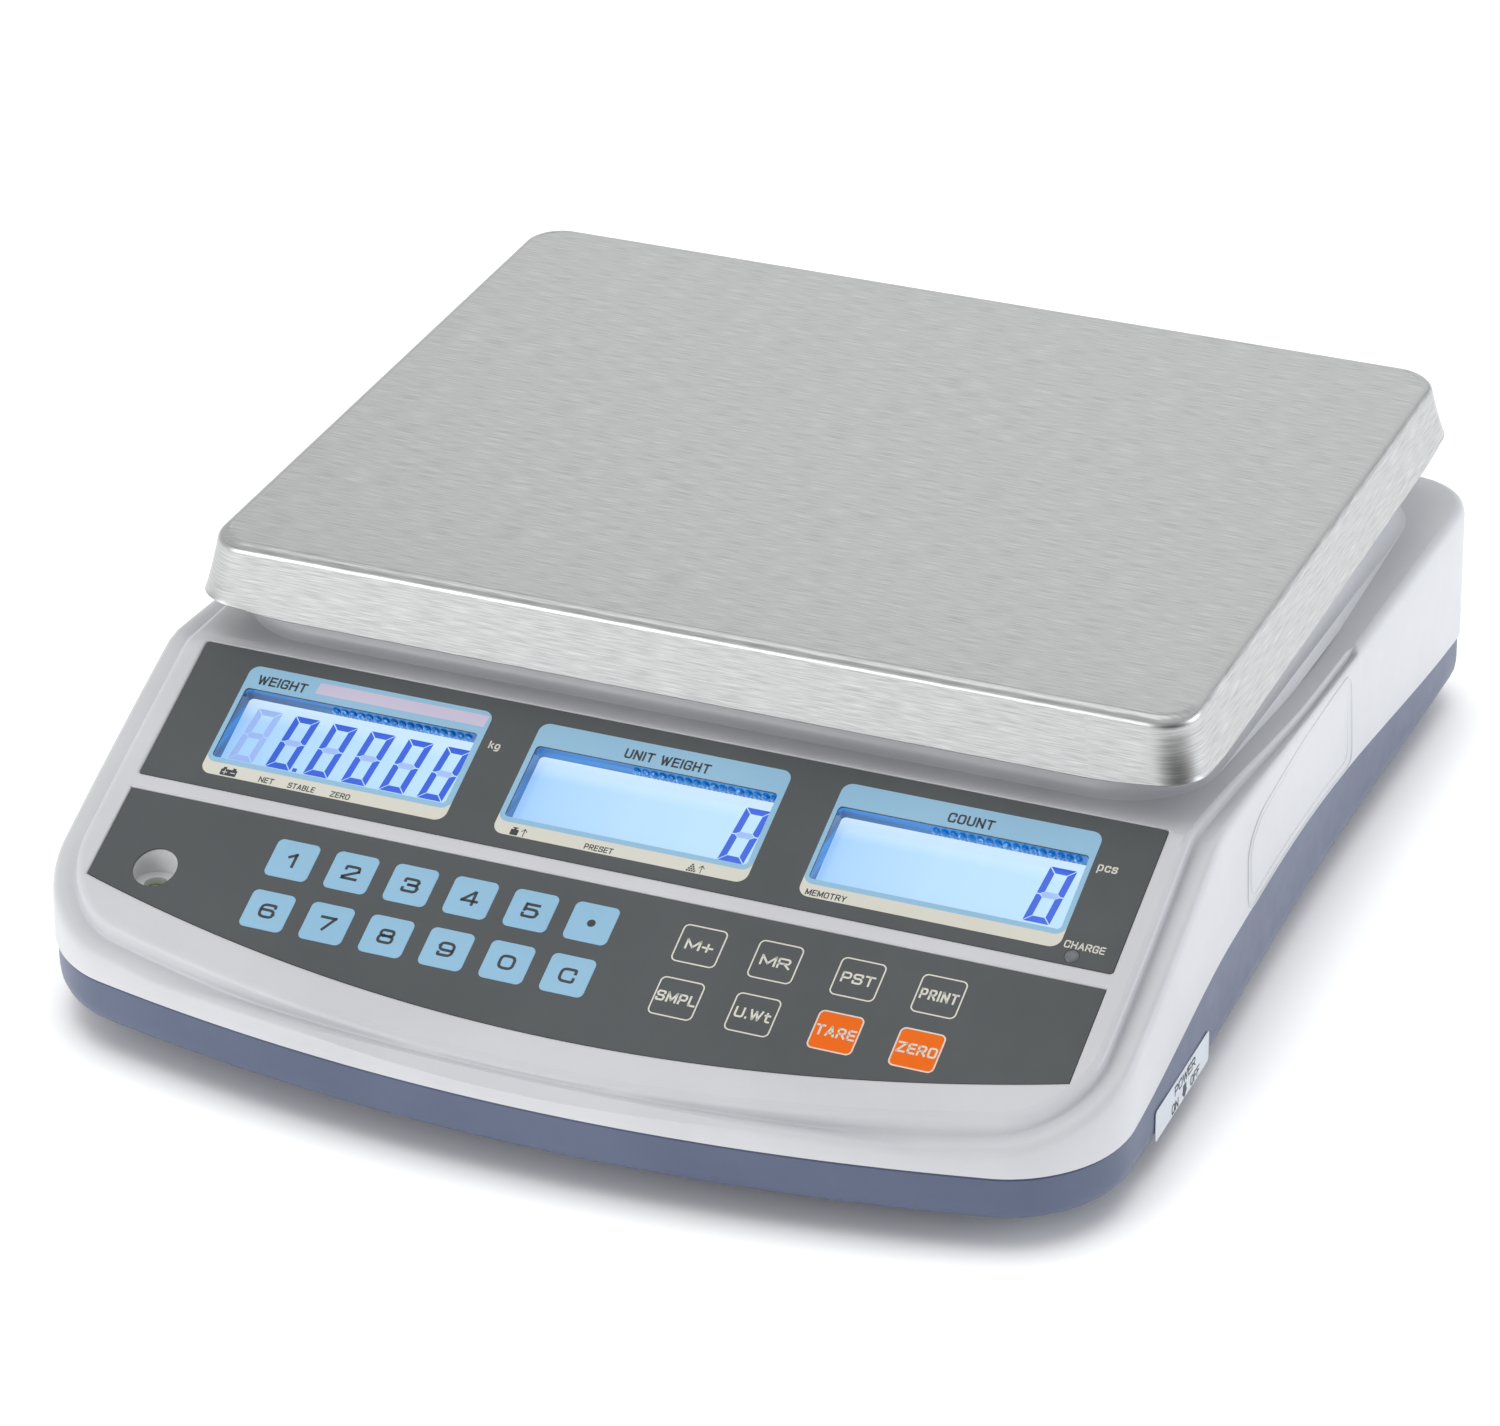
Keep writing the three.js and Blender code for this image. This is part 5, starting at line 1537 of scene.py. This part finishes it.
# %% Camera
camera_turn, camera_rise, camera_roll = (math.radians(d) for d in (23.444, 29.512, -1.029))
camera_data = bpy.data.cameras.new("camera")
camera_data.lens = 139.64
camera = bpy.data.objects.new("camera", camera_data)
bpy.context.scene.collection.objects.link(camera)
camera.location = (0.571882, -1.330739, 0.869576)
back = Vector((math.sin(camera_turn) * math.cos(camera_rise), -math.cos(camera_turn) * math.cos(camera_rise),
               math.sin(camera_rise)))
right = Vector((math.cos(camera_turn), math.sin(camera_turn), 0.0))
up = right.cross(-back)
level_right = math.cos(camera_roll) * right + math.sin(camera_roll) * up
level_up = back.cross(level_right)
camera.rotation_mode = "QUATERNION"
camera_axes = camera.rotation_quaternion.to_matrix()
for row in range(3):
    camera_axes[row] = (level_right[row], level_up[row], back[row])
camera.rotation_quaternion = camera_axes.to_quaternion()
bpy.context.scene.camera = camera
print("camera lens", camera_data.lens, "mm")

# %% Floor
floor_white = new_finish("white floor", (253, 253, 253), 0.7)
clouded(floor_white, (252, 252, 252), (254, 254, 254), 3)
grained(floor_white, 400, 0.02, 0.1)
floor_points = [(-4000, -4000, -0.3), (4000, -4000, -0.3), (4000, 4000, -0.3), (-4000, 4000, -0.3)]
floor = raw_object("floor", floor_points, [(0, 1, 2, 3)])
floor.data.materials.append(floor_white)
print("floor laid")


# %% The four soft lights
def softbox(name, place, aim, width, height, power, colour=(1, 1, 1)):
    """A large soft light that looks at a point."""
    lamp_data = bpy.data.lights.new(name, "AREA")
    lamp_data.shape = "RECTANGLE"
    lamp_data.size = width
    lamp_data.size_y = height
    lamp_data.energy = power
    lamp_data.color = colour
    box = bpy.data.objects.new(name, lamp_data)
    box.location = place
    box.rotation_mode = "QUATERNION"
    box.rotation_quaternion = (Vector(aim) - Vector(place)).to_track_quat("-Z", "Y")
    bpy.context.scene.collection.objects.link(box)
    return box


softbox("top light", (-0.2, 0.1, 1.7), (0, 0, 0), 1.2, 1.0, 4)
softbox("left light", (-0.9, -1.6, 0.6), (0, 0, 0.05), 1.2, 0.7, 9)
softbox("right light", (1.6, 0.5, 0.5), (0, 0, 0.05), 0.9, 0.6, 7, (0.86, 0.92, 1.0))
softbox("back panel", (-0.2, 2.3, 1.3), (0, 0, 0.1), 2.6, 1.2, 3)
print("soft lights:", len(bpy.data.lights))

# %% The floor's own light
floor_sun = bpy.data.lights.new("floor light", "SUN")
floor_sun.energy = 1.4
floor_sun.angle = math.radians(50)
floor_light = bpy.data.objects.new("floor light", floor_sun)
bpy.context.scene.collection.objects.link(floor_light)
lit_by_it = bpy.data.collections.new("lit by the floor light")
lit_by_it.objects.link(floor)
floor_light.light_linking.receiver_collection = lit_by_it

# %% The sky
sky_bright, sky_dim = 0.78, 0.06
dim_way = Vector((0.74, -0.67, 0.05)).normalized()
sky = bpy.data.worlds.new("studio")
sky.use_nodes = True
sky_tree = sky.node_tree
sky_way = sky_tree.nodes.new("ShaderNodeTexCoord")
sky_dot = sky_tree.nodes.new("ShaderNodeVectorMath")
sky_dot.operation = "DOT_PRODUCT"
sky_dot.inputs[1].default_value = dim_way
sky_range = sky_tree.nodes.new("ShaderNodeMapRange")
sky_range.inputs["From Min"].default_value = 0.6
sky_range.inputs["From Max"].default_value = 0.97
sky_range.inputs["To Min"].default_value = sky_bright
sky_range.inputs["To Max"].default_value = sky_dim
sky_tree.links.new(sky_way.outputs["Generated"], sky_dot.inputs[0])
sky_tree.links.new(sky_dot.outputs["Value"], sky_range.inputs["Value"])
sky_tree.links.new(sky_range.outputs["Result"], sky_tree.nodes["Background"].inputs["Strength"])
sky_tree.nodes["Background"].inputs["Color"].default_value = (1, 1, 1, 1)
bpy.context.scene.world = sky
bpy.context.scene.view_settings.view_transform = "Standard"
print("sky from", sky_bright, "down to", sky_dim)
